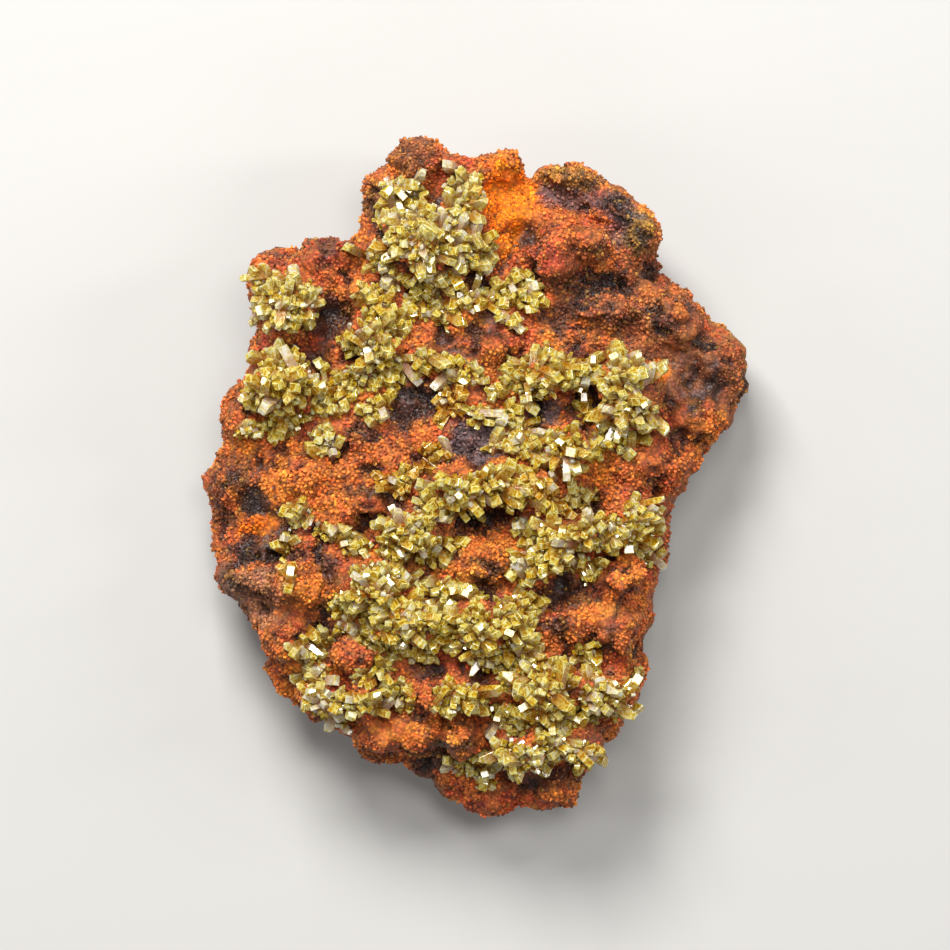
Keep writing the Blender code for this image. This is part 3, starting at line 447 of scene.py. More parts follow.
# Patches a millimetre and a half wide are a little redder or yellower
mottle = add_node(
    tree, "ShaderNodeTexNoise", {"Vector": place, "Scale": GRIT / 4.5, "Detail": 4.0}
).outputs["Fac"]
redder = add_node(
    tree,
    "ShaderNodeMapRange",
    {"Value": mottle, "From Min": 0.35, "From Max": 0.65, "To Min": 0.49, "To Max": 0.508},
).outputs["Result"]
tinted = add_node(
    tree, "ShaderNodeHueSaturation", {"Color": kept, "Hue": redder, "Value": shade_all}
)
tree.links.new(tinted.outputs["Color"], shader.inputs["Base Color"])
grey = add_node(tree, "ShaderNodeRGBToBW", {"Color": kept}).outputs["Val"]
dullness = add_node(
    tree,
    "ShaderNodeMapRange",
    {"Value": grey, "From Min": 0.02, "From Max": 0.12, "To Min": 0.38, "To Max": 0.72},
).outputs["Result"]
tree.links.new(dullness, shader.inputs["Roughness"])
relief = add_node(
    tree, "ShaderNodeMath", {0: grit, 1: grain_shade_and_relief}, operation="ADD"
).outputs["Value"]
bump = add_node(
    tree, "ShaderNodeBump", {"Height": relief, "Strength": 0.8, "Distance": 0.12 * MM}
)
tree.links.new(bump.outputs["Normal"], shader.inputs["Normal"])
shader.inputs["IOR"].default_value = 1.5
# Earthy surfaces scatter light inside their pores and mirror little of it
shader.inputs["Specular IOR Level"].default_value = 0.35
rock.data.materials.clear()
rock.data.materials.append(limonite)
print("finish:", limonite.name)


# %% [markdown]
# ## Grains
#
# Seen close, the crust is made of separate round grains, a quarter to two thirds of a
# millimetre across. They are what gives the rock its play of light and shadow, so they are
# real shapes: two small uneven balls are made with operators, and their points are copied to
# thousands of places on the rock with array arithmetic, which keeps the script quick. The
# places are drawn at random over the surface, and one that crowds an earlier grain is left
# out.

# %% Places for the grains
def surface_points(piece, count, values):
    """Points spread at random over a mesh by area, with the normals and point values there."""
    data = piece.data
    data.calc_loop_triangles()
    corners = np.empty(len(data.loop_triangles) * 3, np.int32)
    data.loop_triangles.foreach_get("vertices", corners)
    corners = corners.reshape(-1, 3)
    a, b, c = point_array(data.vertices, "co")[corners].transpose(1, 0, 2)
    cross = np.cross(b - a, c - a)
    area = np.linalg.norm(cross, axis=1)
    chosen = rng.choice(len(area), count, p=area / area.sum())
    u, v = rng.random(count), rng.random(count)
    flip = u + v > 1.0
    u[flip], v[flip] = 1.0 - u[flip], 1.0 - v[flip]
    spots = a[chosen] + (b - a)[chosen] * u[:, None] + (c - a)[chosen] * v[:, None]
    shares = np.stack((1.0 - u - v, u, v), axis=1)
    there = (np.asarray(values)[corners[chosen]] * shares).sum(axis=1)
    return spots, cross[chosen] / area[chosen, None], there


def keep_apart(spots, radii, closeness):
    """The numbers of those spots that crowd no spot kept before them."""
    steps = (-1, 0, 1)
    cell = 2.0 * radii.max() * closeness
    kept_in = {}
    kept = []
    keys = np.floor(spots / cell).astype(int)
    for k, (key, spot, radius) in enumerate(zip(keys.tolist(), spots.tolist(), radii.tolist())):
        x, y, z = key
        crowded = False
        for near in ((x + i, y + j, z + m) for i in steps for j in steps for m in steps):
            for other, other_radius in kept_in.get(near, ()):
                if math.dist(spot, other) < closeness * (radius + other_radius):
                    crowded = True
                    break
            if crowded:
                break
        if not crowded:
            kept_in.setdefault((x, y, z), []).append((spot, radius))
            kept.append(k)
    return np.array(kept, int)


GRAIN_TRIES = 340000
GRAIN_CLOSENESS = 0.74
LARGE_GRAIN = 0.28 * MM
spots, normals, levels = surface_points(rock, GRAIN_TRIES, heights)
radii = (0.13 + 0.21 * rng.random(len(spots)) ** 1.4) * MM
# The powdery and the massive parts have smaller grains: x, y, half width, half length (mm)
FINE_GRAINED = ((3.8, 36.2, 3.2, 5.4), (28.0, 15.0, 7.5, 6.0), (-29.4, -3.4, 2.0, 1.6))
for x, y, wide, long in FINE_GRAINED:
    inside = ((spots[:, 0] / MM - x) / wide) ** 2 + ((spots[:, 1] / MM - y) / long) ** 2 < 1.0
    radii[inside] *= 0.72
# No grain is near the flat back, and few are under an overhang
above = (spots[:, 2] > 0.7 * MM) & ((normals[:, 2] > 0.0) | (rng.random(len(spots)) < 0.25))
# Broken and massive patches have hardly any grains: they are wide on the sides and on the
# brown slope, and small among the knobs
massive = [noise.fractal(Vector(p) / (5.0 * MM), 0.9, 2.0, 3) for p in spots.tolist()]
slope = ((spots[:, 0] / MM - 27.0) / 9.5) ** 2 + ((spots[:, 1] / MM - 15.0) / 9.0) ** 2 < 1.0
bare = np.array(massive) > np.where(slope, -0.1, np.where(normals[:, 2] < 0.6, 0.0, 0.3))
radii[bare] *= 0.8
grown = above & (~bare | (rng.random(len(spots)) < 0.06))
spots, normals, radii, levels = (rows[grown] for rows in (spots, normals, radii, levels))
# The largest grains are placed first, and the small ones fill the room between them
largest_first = np.argsort(-radii, kind="stable")
spots, normals, radii, levels = (rows[largest_first] for rows in (spots, normals, radii, levels))
kept = keep_apart(spots, radii, GRAIN_CLOSENESS)
spots, normals, radii, levels = (rows[kept] for rows in (spots, normals, radii, levels))
print("grains:", len(spots), "large:", int((radii >= LARGE_GRAIN).sum()))


# %% Many copies as one mesh
def template_arrays(bm):
    """The points, the triangles and their material numbers of a shape made with operators."""
    bmesh.ops.triangulate(bm, faces=bm.faces[:])
    bm.verts.index_update()
    points = np.array([vert.co[:] for vert in bm.verts])
    triangles = np.array([[vert.index for vert in face.verts] for face in bm.faces])
    numbers = np.array([face.material_index for face in bm.faces], np.int32)
    bm.free()
    return points, triangles, numbers


# Each crystal's stretch of the pattern is shifted by nine times its place
PATTERN_SHIFT = 9.0


def many_copies(name, kinds):
    """One mesh of shapes, each copied by many 4x4 frames.

    A kind is its points, its triangles, the material number of each triangle and its frames.
    Each point also keeps its place in its own crystal or grain, in metres along the shape's
    axes, as "growth", and how far along its length it is as "tip".
    """
    laid, corners, numbers, growth, tip = [], [], [], [], []
    start = 0
    for points, triangles, triangle_numbers, frames in kinds:
        copies = len(frames)
        spread = np.einsum("nij,pj->npi", frames[:, :3, :3], points) + frames[:, None, :3, 3]
        shift = start + (np.arange(copies) * len(points))[:, None, None]
        sizes = np.linalg.norm(frames[:, :3, :3], axis=1)
        laid.append(spread.reshape(-1, 3))
        corners.append((triangles[None] + shift).reshape(-1, 3))
        numbers.append(np.tile(triangle_numbers, copies))
        pattern = points[None] * sizes[:, None] + frames[:, None, :3, 3] * PATTERN_SHIFT
        growth.append(pattern.reshape(-1, 3))
        tip.append(np.tile(points[:, 2], copies))
        start += copies * len(points)
    rows = (np.concatenate(part) for part in (laid, corners, numbers, growth, tip))
    laid, corners, numbers, growth, tip = rows
    data = bpy.data.meshes.new(name)
    data.vertices.add(len(laid))
    data.vertices.foreach_set("co", laid.ravel())
    data.loops.add(corners.size)
    data.loops.foreach_set("vertex_index", corners.ravel())
    data.polygons.add(len(corners))
    data.polygons.foreach_set("loop_start", np.arange(0, corners.size, 3))
    data.polygons.foreach_set("material_index", numbers)
    growth_layer = data.attributes.new("growth", "FLOAT_VECTOR", "POINT")
    growth_layer.data.foreach_set("vector", growth.ravel())
    data.attributes.new("tip", "FLOAT", "POINT").data.foreach_set("value", tip)
    data.update(calc_edges=True)
    data.shade_flat()
    made = bpy.data.objects.new(name, data)
    bpy.context.collection.objects.link(made)
    return made


def frames_along(places, axes, sizes, spins):
    """4x4 frames whose third axis is the given one, spun about it and scaled along each axis."""
    helper = np.where(np.abs(axes[:, 2:3]) < 0.9, [[0.0, 0.0, 1.0]], [[1.0, 0.0, 0.0]])
    side = np.cross(helper, axes)
    side /= np.linalg.norm(side, axis=1)[:, None]
    other = np.cross(axes, side)
    c, s = np.cos(spins)[:, None], np.sin(spins)[:, None]
    made = np.tile(np.eye(4), (len(places), 1, 1))
    made[:, :3, 0] = (side * c + other * s) * sizes[:, 0:1]
    made[:, :3, 1] = (other * c - side * s) * sizes[:, 1:2]
    made[:, :3, 2] = axes * sizes[:, 2:3]
    made[:, :3, 3] = places
    return made


# %% Grains
def uneven_ball(make, seed, **settings):
    """A small ball from an operator, its points pushed in and out a little."""
    bm = bmesh.new()
    make(bm, radius=1.0, **settings)
    uneven = np.random.default_rng(seed)
    for vert in bm.verts:
        vert.co *= uneven.uniform(0.62, 1.25)
    return template_arrays(bm)


# A batch of large grains has 180,000 triangles
BATCH = 9000
large_ball = uneven_ball(bmesh.ops.create_icosphere, 3, subdivisions=1)
small_ball = uneven_ball(bmesh.ops.create_uvsphere, 5, u_segments=5, v_segments=2)
ball_kinds = (
    ("large", radii >= LARGE_GRAIN, large_ball),
    ("small", radii < LARGE_GRAIN, small_ball),
)
for kind, chosen, ball in ball_kinds:
    places, outs, sizes, depths = spots[chosen], normals[chosen], radii[chosen], levels[chosen]
    tilted = outs + rng.uniform(-0.7, 0.7, outs.shape)
    tilted /= np.linalg.norm(tilted, axis=1)[:, None]
    stretch = sizes[:, None] * rng.uniform(0.65, 1.3, (len(sizes), 3))
    grain_frames = frames_along(
        places + outs * sizes[:, None] * 0.3, tilted, stretch, rng.uniform(0, 6.28, len(sizes))
    )
    for start in range(0, len(places), BATCH):
        batch = slice(start, start + BATCH)
        name = f"limonite_{kind}_grains_{start // BATCH + 1}"
        grains = many_copies(name, ((*ball, grain_frames[batch]),))
        colours = []
        for spot, normal, depth in zip(places[batch], outs[batch], depths[batch]):
            # Each grain takes the rock's colour at its place, with the painted shade and light of
            # that height
            colour = rust_colour(Vector(spot), Vector(normal), depth)
            fleck = rng.random()
            if fleck < 0.12:
                colour = blend_colour(colour, "black", 0.7)
            elif fleck < 0.22:
                colour = blend_colour(colour, "ochre", 0.3)
            colours.append(np.array(colour) * rng.uniform(0.7, 1.35))
        paint(grains, colours, len(ball[0]))
        grains.data.materials.append(limonite)
        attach(grains, "root")
        print(grains.name, len(grains.data.polygons), "triangles")

# %% [markdown]
# ## Crystal finishes
#
# Adamite is a clear zinc arsenate with a high refractive index, 1.72 to 1.76, so its faces are
# bright mirrors at a slant and it bends light strongly. Iron and a trace of copper tint it
# yellow-green through its whole depth: an absorbing volume gives thick crystals the deeper
# colour, as in the real ones. Most crystals are olive gold, some are straw yellow, a few are
# amber, and here and there one has whitish faces, a painted glint of mirrored light. A crystal
# that is all transmission turns black in so dense a crust, because the light that enters it
# meets only its neighbours, so part of the shader stays a plain veil of colour, with painted
# shade and highlights in it and painted warm shade at each crystal's foot.

# %% Adamite finishes
# The colour of the painted warm shade at the crystals' feet
FOOT_SHADE_TINT = "#BC6014"


def adamite(name, veils_shade_to_glint, depth_colour, density, clear):
    """A crystal's finish, from its veil colours, dark to pale, which also paint shade and
    highlights, and the colour of its depth.

    Density is how much the depth absorbs a metre, and clear the share of light let through.
    """
    material, tree, shader = new_material(name)
    shader.inputs["Transmission Weight"].default_value = clear
    shader.inputs["IOR"].default_value = 1.73
    own_place = add_node(tree, "ShaderNodeAttribute", {}, attribute_name="growth").outputs["Vector"]
    # A cloudy veil pattern 0.4 mm wide, which is also painted shade and highlight: dark where one
    # looks deep into the crystal, pale for light glinting inside it
    veil = add_node(
        tree,
        "ShaderNodeTexNoise",
        {"Vector": own_place, "Scale": 1.0 / (0.42 * MM), "Detail": 3.0},
    ).outputs["Fac"]
    tint = add_node(tree, "ShaderNodeValToRGB", {"Fac": veil})
    ramp = tint.color_ramp
    ramp.elements.new(0.5)
    for element, position, colour in zip(ramp.elements, (0.4, 0.5, 0.6), veils_shade_to_glint):
        element.position = position
        element.color = (*linear(colour), 1.0)
    # Painted warm shade at the foot of each crystal, where the orange rock shows through it
    along = add_node(tree, "ShaderNodeAttribute", {}, attribute_name="tip").outputs["Fac"]
    foot_shade = add_node(
        tree,
        "ShaderNodeMapRange",
        {"Value": along, "From Min": 0.2, "From Max": 0.9, "To Min": 0.8, "To Max": 0.0},
    ).outputs["Result"]
    # A Mix node that blends colours has its factor at 0, its colours at 6 and 7, its result at 2
    body = add_node(
        tree,
        "ShaderNodeMix",
        {0: foot_shade, 6: tint.outputs["Color"], 7: (*linear(FOOT_SHADE_TINT), 1.0)},
        data_type="RGBA",
    )
    tree.links.new(body.outputs[2], shader.inputs["Base Color"])
    rough = add_node(
        tree,
        "ShaderNodeMapRange",
        {"Value": veil, "From Min": 0.4, "From Max": 0.7, "To Min": 0.03, "To Max": 0.12},
    ).outputs["Result"]
    tree.links.new(rough, shader.inputs["Roughness"])
    # Fine growth lines run the length of each prism
    drawn_out = add_node(
        tree, "ShaderNodeVectorMath", {0: own_place, 1: (1.0, 1.0, 0.12)}, operation="MULTIPLY"
    )
    lines = add_node(
        tree,
        "ShaderNodeTexNoise",
        {"Vector": drawn_out.outputs["Vector"], "Scale": 1.0 / (0.16 * MM), "Detail": 2.0},
    ).outputs["Fac"]
    bump = add_node(
        tree, "ShaderNodeBump", {"Height": lines, "Strength": 0.2, "Distance": 0.05 * MM}
    )
    tree.links.new(bump.outputs["Normal"], shader.inputs["Normal"])
    absorb = add_node(
        tree,
        "ShaderNodeVolumeAbsorption",
        {"Color": (*linear(depth_colour), 1.0), "Density": density},
    )
    output = next(node for node in tree.nodes if node.type == "OUTPUT_MATERIAL")
    tree.links.new(absorb.outputs["Volume"], output.inputs["Volume"])
    return material


FINISHES = {
    "gold": adamite(
        "adamite_olive_gold", ("#C8940F", "#FADA38", "#FFF690"), "#F4C838", 150.0, 0.56
    ),
    "straw": adamite(
        "adamite_straw_yellow", ("#DCB63C", "#FCEC74", "#FFFCC4"), "#F8DC60", 120.0, 0.58
    ),
    # Whitish faces: a painted glint that stands for light mirrored on them
    "painted_glint": adamite(
        "adamite_painted_glint_faces", ("#E4D098", "#FFF4CC", "#FFFEF2"), "#F4E4A8", 150.0, 0.54
    ),
    "amber": adamite(
        "adamite_amber", ("#C27C0C", "#FFB81C", "#FFE070"), "#ECA418", 320.0, 0.58
    ),
    # Bevel faces: a painted highlight on the crystals' edges
    "edge": adamite(
        "adamite_painted_edge_highlight", ("#F0D64C", "#FFF290", "#FFFCD0"), "#F4DC88", 140.0, 0.4
    ),
}
print("finishes:", sorted(FINISHES))

# %% [markdown]
# ## Crystal shapes
#
# The crystals are four-sided prisms closed by two sloping faces, like a small roof, and some
# have their corners cut. A crystal here starts as a cube that planes trim, and a narrow bevel
# lets its edges catch light and carries a painted highlight. Three such shapes are enough,
# because each copy gets its own width, thickness, length and turn.

# %% Crystal templates
def trim(bm, planes):
    """Cuts a convex shape by planes (point, normal) and closes each cut."""
    for point, normal in planes:
        cut = bmesh.ops.bisect_plane(
            bm,
            geom=bm.verts[:] + bm.edges[:] + bm.faces[:],
            plane_co=point,
            plane_no=Vector(normal).normalized(),
            clear_outer=True,
        )
        edges = [part for part in cut["geom_cut"] if isinstance(part, bmesh.types.BMEdge)]
        if edges:
            bmesh.ops.edgenet_fill(bm, edges=edges)


# The material number that marks a bevel's faces, and the bevel's width in crystal widths
EDGE_FACE = 1
EDGE_WIDTH = 0.035


def crystal_template(planes, edge_width):
    """A crystal one unit wide, thick and long, standing on its foot."""
    bm = bmesh.new()
    bmesh.ops.create_cube(bm, size=1.0, matrix=Matrix.Translation((0, 0, 0.5)))
    trim(bm, planes)
    if edge_width:
        bevelled = bmesh.ops.bevel(
            bm,
            geom=bm.edges[:],
            offset=edge_width,
            affect="EDGES",
            segments=1,
            profile=0.5,
            material=-1,
        )
        for face in bevelled["faces"]:
            face.material_index = EDGE_FACE
    bmesh.ops.recalc_face_normals(bm, faces=bm.faces[:])
    return template_arrays(bm)


# Each shape is the planes that cut it: a point on the plane and the way it faces
HABITS = (
    (((0, 0, 0.98), (1, 0, 1.9)), ((0, 0, 0.98), (-1, 0, 1.7))),
    (
        ((0.16, 0, 0.98), (1, 0, 2.4)),
        ((0.16, 0, 0.98), (-1, 0, 1.6)),
        ((0.5, 0.5, 0.62), (1, 1, 0.4)),
    ),
    (
        ((0, 0.1, 0.99), (0.2, 1, 2.8)),
        ((-0.2, 0, 0.98), (-1, 0.2, 1.5)),
        ((0.36, -0.5, 0.85), (1, -1, 0.6)),
    ),
)
# The large crystals have bevelled edges; on the small ones nobody would see them
LARGE_TEMPLATES = [crystal_template(planes, EDGE_WIDTH) for planes in HABITS]
SMALL_TEMPLATES = [crystal_template(planes, 0.0) for planes in HABITS]
template_sizes = [len(shape[1]) for shape in LARGE_TEMPLATES + SMALL_TEMPLATES]
print("crystal templates:", template_sizes, "triangles")

# %% [markdown]
# ## Crystal groups
#
# Each solid of a group marks where its crust of crystals lies. Looking down on it, spots are
# drawn where the solid shows above the rock, larger crystals first, and smaller ones fill the
# room between them. Each crystal is rooted in the rock, leans out from its neighbours and is
# kept as low as the solid's crystals are. The prisms that stand out to the eye are listed one
# by one; they use the same rows as in the solids.

# %% Prisms listed one by one
# Group: x and y of the foot, x and y of the tip, rise to the tip, width, thickness (mm)
PRISMS = {
    "summit_block_crystals": (
        (-11.6, 35.4, -12.0, 38.8, 1.6, 1.6, 1.4), (-10.8, 38.3, -7.6, 38.2, 1.6, 1.7, 1.5),
    ),
    "upper_druse": (
        (-2.2, 38.6, -2.6, 40.3, 2.0, 2.0, 1.2), (-0.8, 36.8, -0.6, 39.4, 1.8, 1.2, 1.2),
        (-10.2, 33.0, -12.6, 33.6, 2.0, 1.3, 1.0), (-6.6, 31.6, -6.2, 32.2, 3.8, 2.2, 2.0),
        (-0.4, 30.2, 0.4, 30.6, 3.4, 1.4, 1.3), (-15.6, 29.4, -17.4, 30.2, 2.4, 1.4, 1.2),
    ),
    "left_knob_druse": (
        (-24.8, 24.0, -24.4, 25.8, 2.2, 1.5, 1.2), (-27.2, 22.0, -29.2, 21.6, 2.4, 1.5, 1.3),
        (-22.6, 23.4, -21.4, 24.4, 2.8, 1.3, 1.2), (-26.6, 24.0, -27.8, 25.3, 2.2, 1.4, 1.2),
    ),
    "inner_left_druse": (
        (-14.4, 16.9, -17.6, 18.9, 1.6, 1.0, 0.9), (-14.8, 17.6, -14.2, 16.0, 2.0, 1.6, 1.2),
        (-12.2, 14.0, -11.4, 12.0, 1.2, 1.5, 1.3),
    ),
    "left_druse": (
        (-23.8, 13.8, -25.6, 17.2, 2.2, 1.5, 1.3), (-24.4, 13.0, -22.4, 13.8, 2.6, 1.6, 1.2),
        (-28.6, 9.6, -30.4, 9.4, 1.6, 1.4, 1.2),
    ),
    "left_lower_crystals": ((-25.4, 7.6, -26.2, 4.8, 0.8, 1.8, 1.4),),
    "pale_prism_row": (
        (-19.2, 9.0, -22.0, 8.6, 1.0, 0.9, 0.8), (-20.2, 9.2, -18.6, 8.8, 2.2, 1.6, 1.4),
    ),
    "left_sprig": (
        (-19.8, 4.2, -21.4, 3.2, 1.1, 1.0, 0.9), (-20.0, 5.1, -19.7, 7.2, 1.3, 1.0, 0.8),
    ),
    "north_spray_west": ((-5.6, 21.3, -7.6, 21.5, 1.4, 1.0, 0.9),),
    "north_spray_east": (
        (0.2, 24.0, -3.0, 23.8, 1.6, 1.0, 0.8), (5.6, 24.2, 7.2, 25.4, 1.6, 1.0, 0.8),
        (5.8, 24.0, 7.0, 22.6, 1.8, 1.1, 0.9),
    ),
    "amber_crescent": ((-3.6, 8.8, -6.0, 7.2, 0.7, 0.7, 0.6),),
    "centre_right_druse": (
        (4.6, 13.2, 1.4, 10.2, 0.9, 1.0, 0.9), (10.4, 14.6, 14.4, 14.2, 1.6, 1.3, 0.9),
        (7.8, 15.0, 9.0, 17.0, 1.4, 0.8, 0.7), (6.2, 12.6, 6.6, 9.8, 1.8, 0.9, 0.8),
    ),
    "right_druse": (
        (20.4, 13.2, 21.8, 13.6, 2.6, 2.2, 1.4), (18.0, 14.6, 17.2, 16.4, 2.0, 1.8, 1.2),
        (20.6, 8.0, 21.2, 6.4, 2.6, 1.4, 1.2),
    ),
    "right_tail_crystals": ((19.2, 4.4, 19.8, 2.6, 1.2, 0.9, 0.8),),
    "pale_slab_crystals": ((-0.2, 8.5, 3.2, 8.3, 1.6, 1.5, 1.0),),
    "cross_blades": (
        (1.8, 4.0, 5.4, 4.9, 1.6, 1.3, 0.9), (6.2, 3.4, 8.0, 5.0, 1.8, 0.8, 0.7),
        (6.4, 3.2, 8.8, 1.8, 1.2, 1.0, 0.8),
    ),
    "column_druse": ((11.4, 2.6, 11.4, -0.6, 1.2, 1.1, 1.0),),
    "column_side_crystals": ((14.6, 3.6, 16.0, 5.4, 1.4, 1.0, 0.8),),
    "yellow_chain": ((-10.6, -0.6, -7.6, 1.2, 1.2, 1.2, 0.9),),
    "centre_druse": (
        (2.2, -0.6, 3.6, 1.6, 1.8, 1.0, 0.8), (-2.4, -1.0, -4.6, -0.2, 1.8, 1.2, 1.0),
        (-5.6, -3.0, -6.4, -0.8, 1.4, 0.9, 0.8), (-1.2, -3.2, 0.4, -5.0, 1.2, 1.6, 1.2),
    ),
    "amber_spray": ((7.6, -3.4, 6.8, 0.8, 1.4, 1.0, 0.8), (8.0, -3.4, 9.4, -0.2, 1.2, 0.9, 0.7)),
    "right_band_druse": (
        (16.6, -8.6, 13.6, -3.8, 1.8, 1.2, 0.9), (7.4, -8.8, 4.8, -5.6, 1.4, 0.9, 0.7),
        (20.4, -6.0, 20.6, -3.2, 1.8, 1.4, 1.0),
    ),
    "under_band_druse": (
        (5.8, -12.8, 4.4, -11.0, 1.8, 1.6, 1.0), (6.2, -10.8, 7.4, -9.6, 2.0, 0.9, 0.7),
    ),
    "under_band_crystals": ((13.4, -11.4, 14.4, -13.6, 0.8, 0.9, 0.8),),
    "mid_left_druse": (
        (-10.8, -6.0, -12.2, -6.6, 2.2, 1.6, 1.1), (-11.0, -9.2, -10.8, -11.0, 1.0, 1.0, 0.8),
    ),
    "lower_left_druse": (
        (-14.6, -13.6, -16.6, -12.4, 1.8, 1.5, 1.0), (-17.6, -19.4, -15.6, -17.0, 1.6, 0.9, 0.7),
        (-8.4, -20.8, -9.0, -17.6, 1.4, 1.4, 0.9), (-10.2, -23.0, -8.0, -22.8, 1.8, 1.4, 1.0),
        (-11.6, -15.0, -13.2, -16.4, 1.8, 1.2, 0.9),
    ),
    "centre_ledge_druse": ((-2.8, -14.6, -3.8, -14.8, 2.2, 1.5, 1.0),),
    "lower_centre_druse": (
        (-2.2, -20.2, -2.6, -18.2, 1.6, 0.9, 0.8), (5.4, -22.8, 4.4, -21.2, 2.0, 1.5, 1.2),
        (1.0, -20.4, 1.8, -19.6, 2.2, 1.2, 0.9), (5.0, -16.4, 6.6, -16.0, 1.6, 1.0, 0.8),
    ),
    "southwest_druse": ((-22.0, -24.2, -23.4, -22.0, 1.4, 1.0, 0.9),),
    "southwest_foot_crystals": (
        (-21.2, -29.2, -22.8, -28.2, 1.8, 1.4, 1.0), (-18.4, -29.6, -18.2, -31.0, 1.2, 1.4, 1.1),
    ),
    "south_knot_lower": (
        (-16.2, -29.0, -17.4, -28.8, 2.0, 1.3, 1.0), (-14.8, -29.8, -13.8, -30.4, 1.4, 1.2, 1.0),
    ),
    "south_druse_west": (
        (-5.6, -29.2, -4.0, -27.0, 1.8, 1.2, 0.8), (-3.2, -28.8, -3.4, -30.2, 2.4, 1.1, 0.9),
    ),
    "south_druse_east": (
        (6.0, -28.2, 7.4, -29.4, 2.4, 1.3, 1.0), (2.8, -30.0, 2.2, -32.0, 2.2, 1.1, 0.9),
        (13.8, -25.8, 18.4, -28.4, 2.0, 1.5, 1.1), (9.4, -31.6, 9.6, -33.6, 1.8, 1.0, 0.9),
    ),
    "foot_druse_west": ((-1.6, -37.4, -0.8, -39.2, 1.4, 1.3, 1.0),),
    "foot_druse": (
        (4.3, -36.4, 4.5, -38.8, 1.4, 1.3, 1.0), (7.4, -35.8, 7.6, -37.6, 1.8, 1.2, 1.0),
    ),
    "foot_hanging_prism": ((1.0, -38.8, 0.4, -41.2, 1.0, 1.3, 1.1),),
    "foot_fan_crystals": (
        (12.6, -35.4, 14.8, -37.6, 1.0, 1.5, 1.0), (12.8, -36.0, 12.8, -38.2, 0.8, 1.0, 0.8),
    ),
    "east_sprig": ((13.4, -22.4, 15.2, -21.6, 1.8, 1.0, 0.8),),
    "upper_long_prism": ((3.0, 21.4, 5.9, 18.9, 1.3, 1.6, 1.1),),
    "left_rim_prism": ((-28.6, 6.7, -31.2, 6.1, 1.2, 1.4, 1.1),),
    "pale_needle": ((-19.9, 12.2, -20.7, 15.2, 1.4, 0.9, 0.7),),
    "dark_gold_blade": ((14.0, 7.4, 13.6, 11.4, 1.2, 1.1, 0.9),),
    "upright_blade": ((12.4, -3.6, 12.8, -1.0, 1.8, 0.8, 0.7),),
    "slanted_blade": ((15.0, -2.8, 13.2, -1.4, 1.4, 0.9, 0.7),),
    "rim_block_crystal": ((19.6, -27.8, 21.0, -25.6, 1.4, 1.5, 1.2),),
    "gold_plate_crystal": ((-25.2, -9.2, -25.2, -7.0, 1.0, 1.8, 1.0),),
    "amber_plate_crystal": ((-24.6, -13.4, -24.4, -11.4, 1.2, 2.0, 1.0),),
}
AMBER = {"amber_crescent", "yellow_chain", "amber_spray", "amber_plate_crystal", "dark_gold_blade"}
PALE = {
    "summit_block_crystals", "upper_druse", "left_knob_druse", "pale_prism_row", "left_sprig",
    "upper_long_prism", "pale_slab_crystals", "cross_blades", "left_rim_prism", "pale_needle",
    "upright_blade", "slanted_blade", "southwest_druse", "southwest_foot_crystals", "foot_druse",
    "foot_druse_west", "right_druse",
}
print("prisms placed by eye:", sum(len(rows) for rows in PRISMS.values()))

# %% Looking down on the solids
graph = bpy.context.evaluated_depsgraph_get()
rock_tree = BVHTree.FromObject(rock, graph)
SKY = 60 * MM


def height_at(tree, x, y):
    """The height of a shape's highest point at x and y, or None beside it."""
    point, _, _, _ = tree.ray_cast(Vector((x, y, SKY)), Vector((0, 0, -1)))
    return None if point is None else point.z


def slope_at(x, y):
    """The way the rock faces at x and y."""
    _, normal, _, _ = rock_tree.ray_cast(Vector((x, y, SKY)), Vector((0, 0, -1)))
    return normal


def footprint(node_tree, low, high, count):
    """Random spots where a group's solid shows above the rock, with its height there."""
    spots = []
    for x, y in rng.uniform((low.x, low.y), (high.x, high.y), (count, 2)):
        top = height_at(node_tree, x, y)
        ground = height_at(rock_tree, x, y)
        if top is not None and ground is not None and top > ground - 0.3 * MM:
            spots.append((x, y, ground, top))
    return np.array(spots).reshape(-1, 4)


# %% Growing a group
# How deep the crystals stand in the rock (mm): those drawn at random, and the prisms
ROOTED, PRISM_ROOTED = 0.5, 0.8


def crystal_frames(spots, middle, widths, lengths):
    """Frames of crystals rooted in the rock at the spots, which lean away from the middle."""
    frames = []
    for (x, y, ground, top), width, length in zip(spots, widths, lengths):
        out = Vector((x - middle[0], y - middle[1], 0.0)) / (4.0 * MM)
        if out.length > 1.0:
            out.normalize()
        wander = Vector(rng.uniform(-1.0, 1.0, 3)) * 0.9
        axis = (slope_at(x, y) * 0.45 + Vector((0, 0, 0.7)) + out * 0.5 + wander).normalized()
        # The tip stays near the height of the solid's crystals
        reach = max(1.1 * MM, (top - ground + 0.8 * MM) / max(0.35, axis.z))
        length = min(length, reach) + ROOTED * MM
        root = Vector((x, y, ground)) - axis * ROOTED * MM
        size = np.array([[width, width * rng.uniform(0.55, 0.95), length]])
        spin = rng.uniform(0, 3.14, 1)
        frames.append(frames_along(np.array([root]), np.array([axis]), size, spin)[0])
    return frames


def prism_frame(row):
    """The frame of a listed prism."""
    x0, y0, x1, y1, rise, width, thickness = (value * MM for value in row)
    foot = Vector((x0, y0, height_at(rock_tree, x0, y0) or 0.0))
    below = height_at(rock_tree, x1, y1) or 0.0
    tip = Vector((x1, y1, max(foot.z, below) + rise))
    axis = (tip - foot).normalized()
    root = foot - axis * PRISM_ROOTED * MM
    turn = axis.to_track_quat("Z", "X").to_matrix().to_4x4()
    shape = Matrix.Diagonal((width, thickness, (tip - root).length, 1.0))
    return np.array(Matrix.Translation(root) @ turn @ shape)


# The bevelled edges take the palest finish, a painted highlight of the light they catch
EDGE_FINISH = list(FINISHES).index("edge")


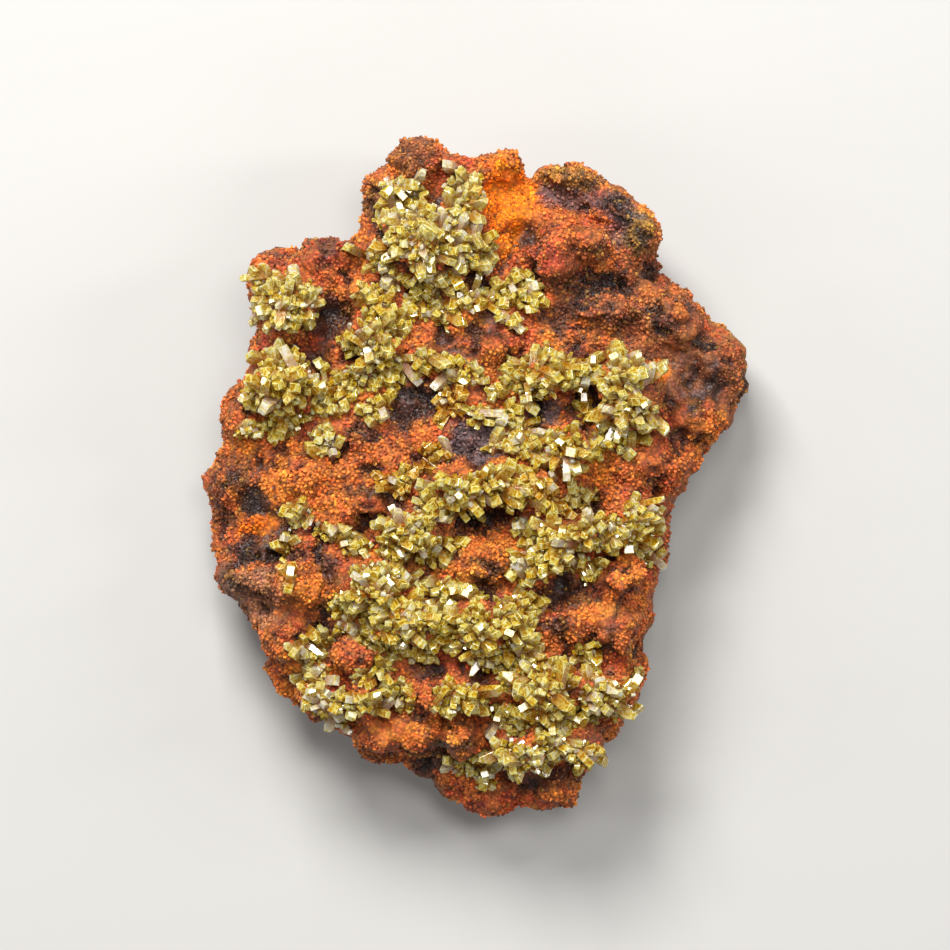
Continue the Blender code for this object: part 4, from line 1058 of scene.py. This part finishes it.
def crystal_piece(name, frames, large, finishes):
    """One mesh of crystals, each with one of the shapes and one of the finishes."""
    habits = np.arange(len(frames)) % len(HABITS)
    kinds = []
    for number in range(EDGE_FINISH):
        for is_large, templates in ((True, LARGE_TEMPLATES), (False, SMALL_TEMPLATES)):
            for habit, (points, triangles, marks) in enumerate(templates):
                chosen = (finishes == number) & (large == is_large) & (habits == habit)
                numbers = np.where(marks == EDGE_FACE, EDGE_FINISH, number)
                if chosen.any():
                    kinds.append((points, triangles, numbers, frames[chosen]))
    piece = many_copies(name, kinds)
    for material in FINISHES.values():
        piece.data.materials.append(material)
    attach(piece, "root")
    return piece


# %% All the groups
FINISH_NAMES = list(FINISHES)[:EDGE_FINISH]
# Shares of gold, straw, painted-glint and amber crystals
MIXES = {
    "gold": (0.6, 0.31, 0.09, 0.0),
    "pale": (0.34, 0.52, 0.14, 0.0),
    "amber": (0.34, 0.0, 0.04, 0.62),
}
# The feet of the prisms with a painted glint: a whitish face that stands for light mirrored on it
GLINT_FEET = {
    (3.0, 21.4), (-23.8, 13.8), (16.6, -8.6), (13.8, -25.8), (5.4, -22.8), (-28.6, 6.7),
    (5.8, -12.8), (-0.2, 8.5), (1.8, 4.0), (11.4, 2.6), (0.2, 24.0), (-5.6, 21.3),
    (-10.8, -6.0), (-14.6, -13.6), (-8.4, -20.8), (-22.0, -24.2), (-21.2, -29.2), (-16.2, -29.0),
    (-11.6, 35.4), (20.4, -6.0),
}
SPOTS_PER_MM2 = 30
CRYSTAL_CLOSENESS = 0.54
# One crystal in ten is big; widths are in mm, and those above 0.7 mm have bevelled edges
BIG_SHARE = 0.1
BIG_WIDTHS, SMALL_WIDTHS = (0.95, 1.6), (0.42, 0.85)
BEVELLED_ABOVE = 0.7 * MM
# A group with no more spots than this has only its prisms
FEW_SPOTS = 12
PLAIN_FINISH = {"gold": "gold", "pale": "straw", "amber": "amber"}
crystal_total = 0
for name in sorted(crystal_solids):
    low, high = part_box(name)
    node_tree = BVHTree.FromObject(crystal_solids[name], graph)
    area = (high.x - low.x) * (high.y - low.y) / MM**2
    spots = footprint(node_tree, low, high, int(area * SPOTS_PER_MM2))
    kind = "amber" if name in AMBER else "pale" if name in PALE else "gold"
    rows = PRISMS.get(name, ())
    frames = [prism_frame(row) for row in rows]
    large = [True] * len(rows)
    names = ["painted_glint" if row[:2] in GLINT_FEET else PLAIN_FINISH[kind] for row in rows]
    finishes = [FINISH_NAMES.index(finish) for finish in names]
    if len(spots) > FEW_SPOTS:
        middle = spots[:, :2].mean(axis=0)
        big = rng.random(len(spots)) < BIG_SHARE
        big_widths = rng.uniform(*BIG_WIDTHS, len(spots))
        small_widths = rng.uniform(*SMALL_WIDTHS, len(spots))
        widths = np.where(big, big_widths, small_widths) * MM
        order = np.argsort(-big.astype(int), kind="stable")
        spots, widths = spots[order], widths[order]
        # Crystals one above the other on a slope may stand closer than side by side
        kept = keep_apart(spots[:, :3] * (1.0, 1.0, 0.5), widths / 2.0, CRYSTAL_CLOSENESS)
        spots, widths = spots[kept], widths[kept]
        lengths = widths * rng.uniform(1.4, 2.5, len(widths))
        frames += crystal_frames(spots, middle, widths, lengths)
        large += list(widths > BEVELLED_ABOVE)
        finishes += list(rng.choice(len(FINISH_NAMES), len(widths), p=MIXES[kind]))
    piece = crystal_piece(
        name + "_crystals", np.array(frames), np.array(large), np.array(finishes)
    )
    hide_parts(name)
    crystal_total += len(frames)
print("crystals:", crystal_total)

# %% Finish
sizes = {
    "cad": [list(corner) for corner in cad_bounds],
    "visual": [list(corner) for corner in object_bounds()],
}
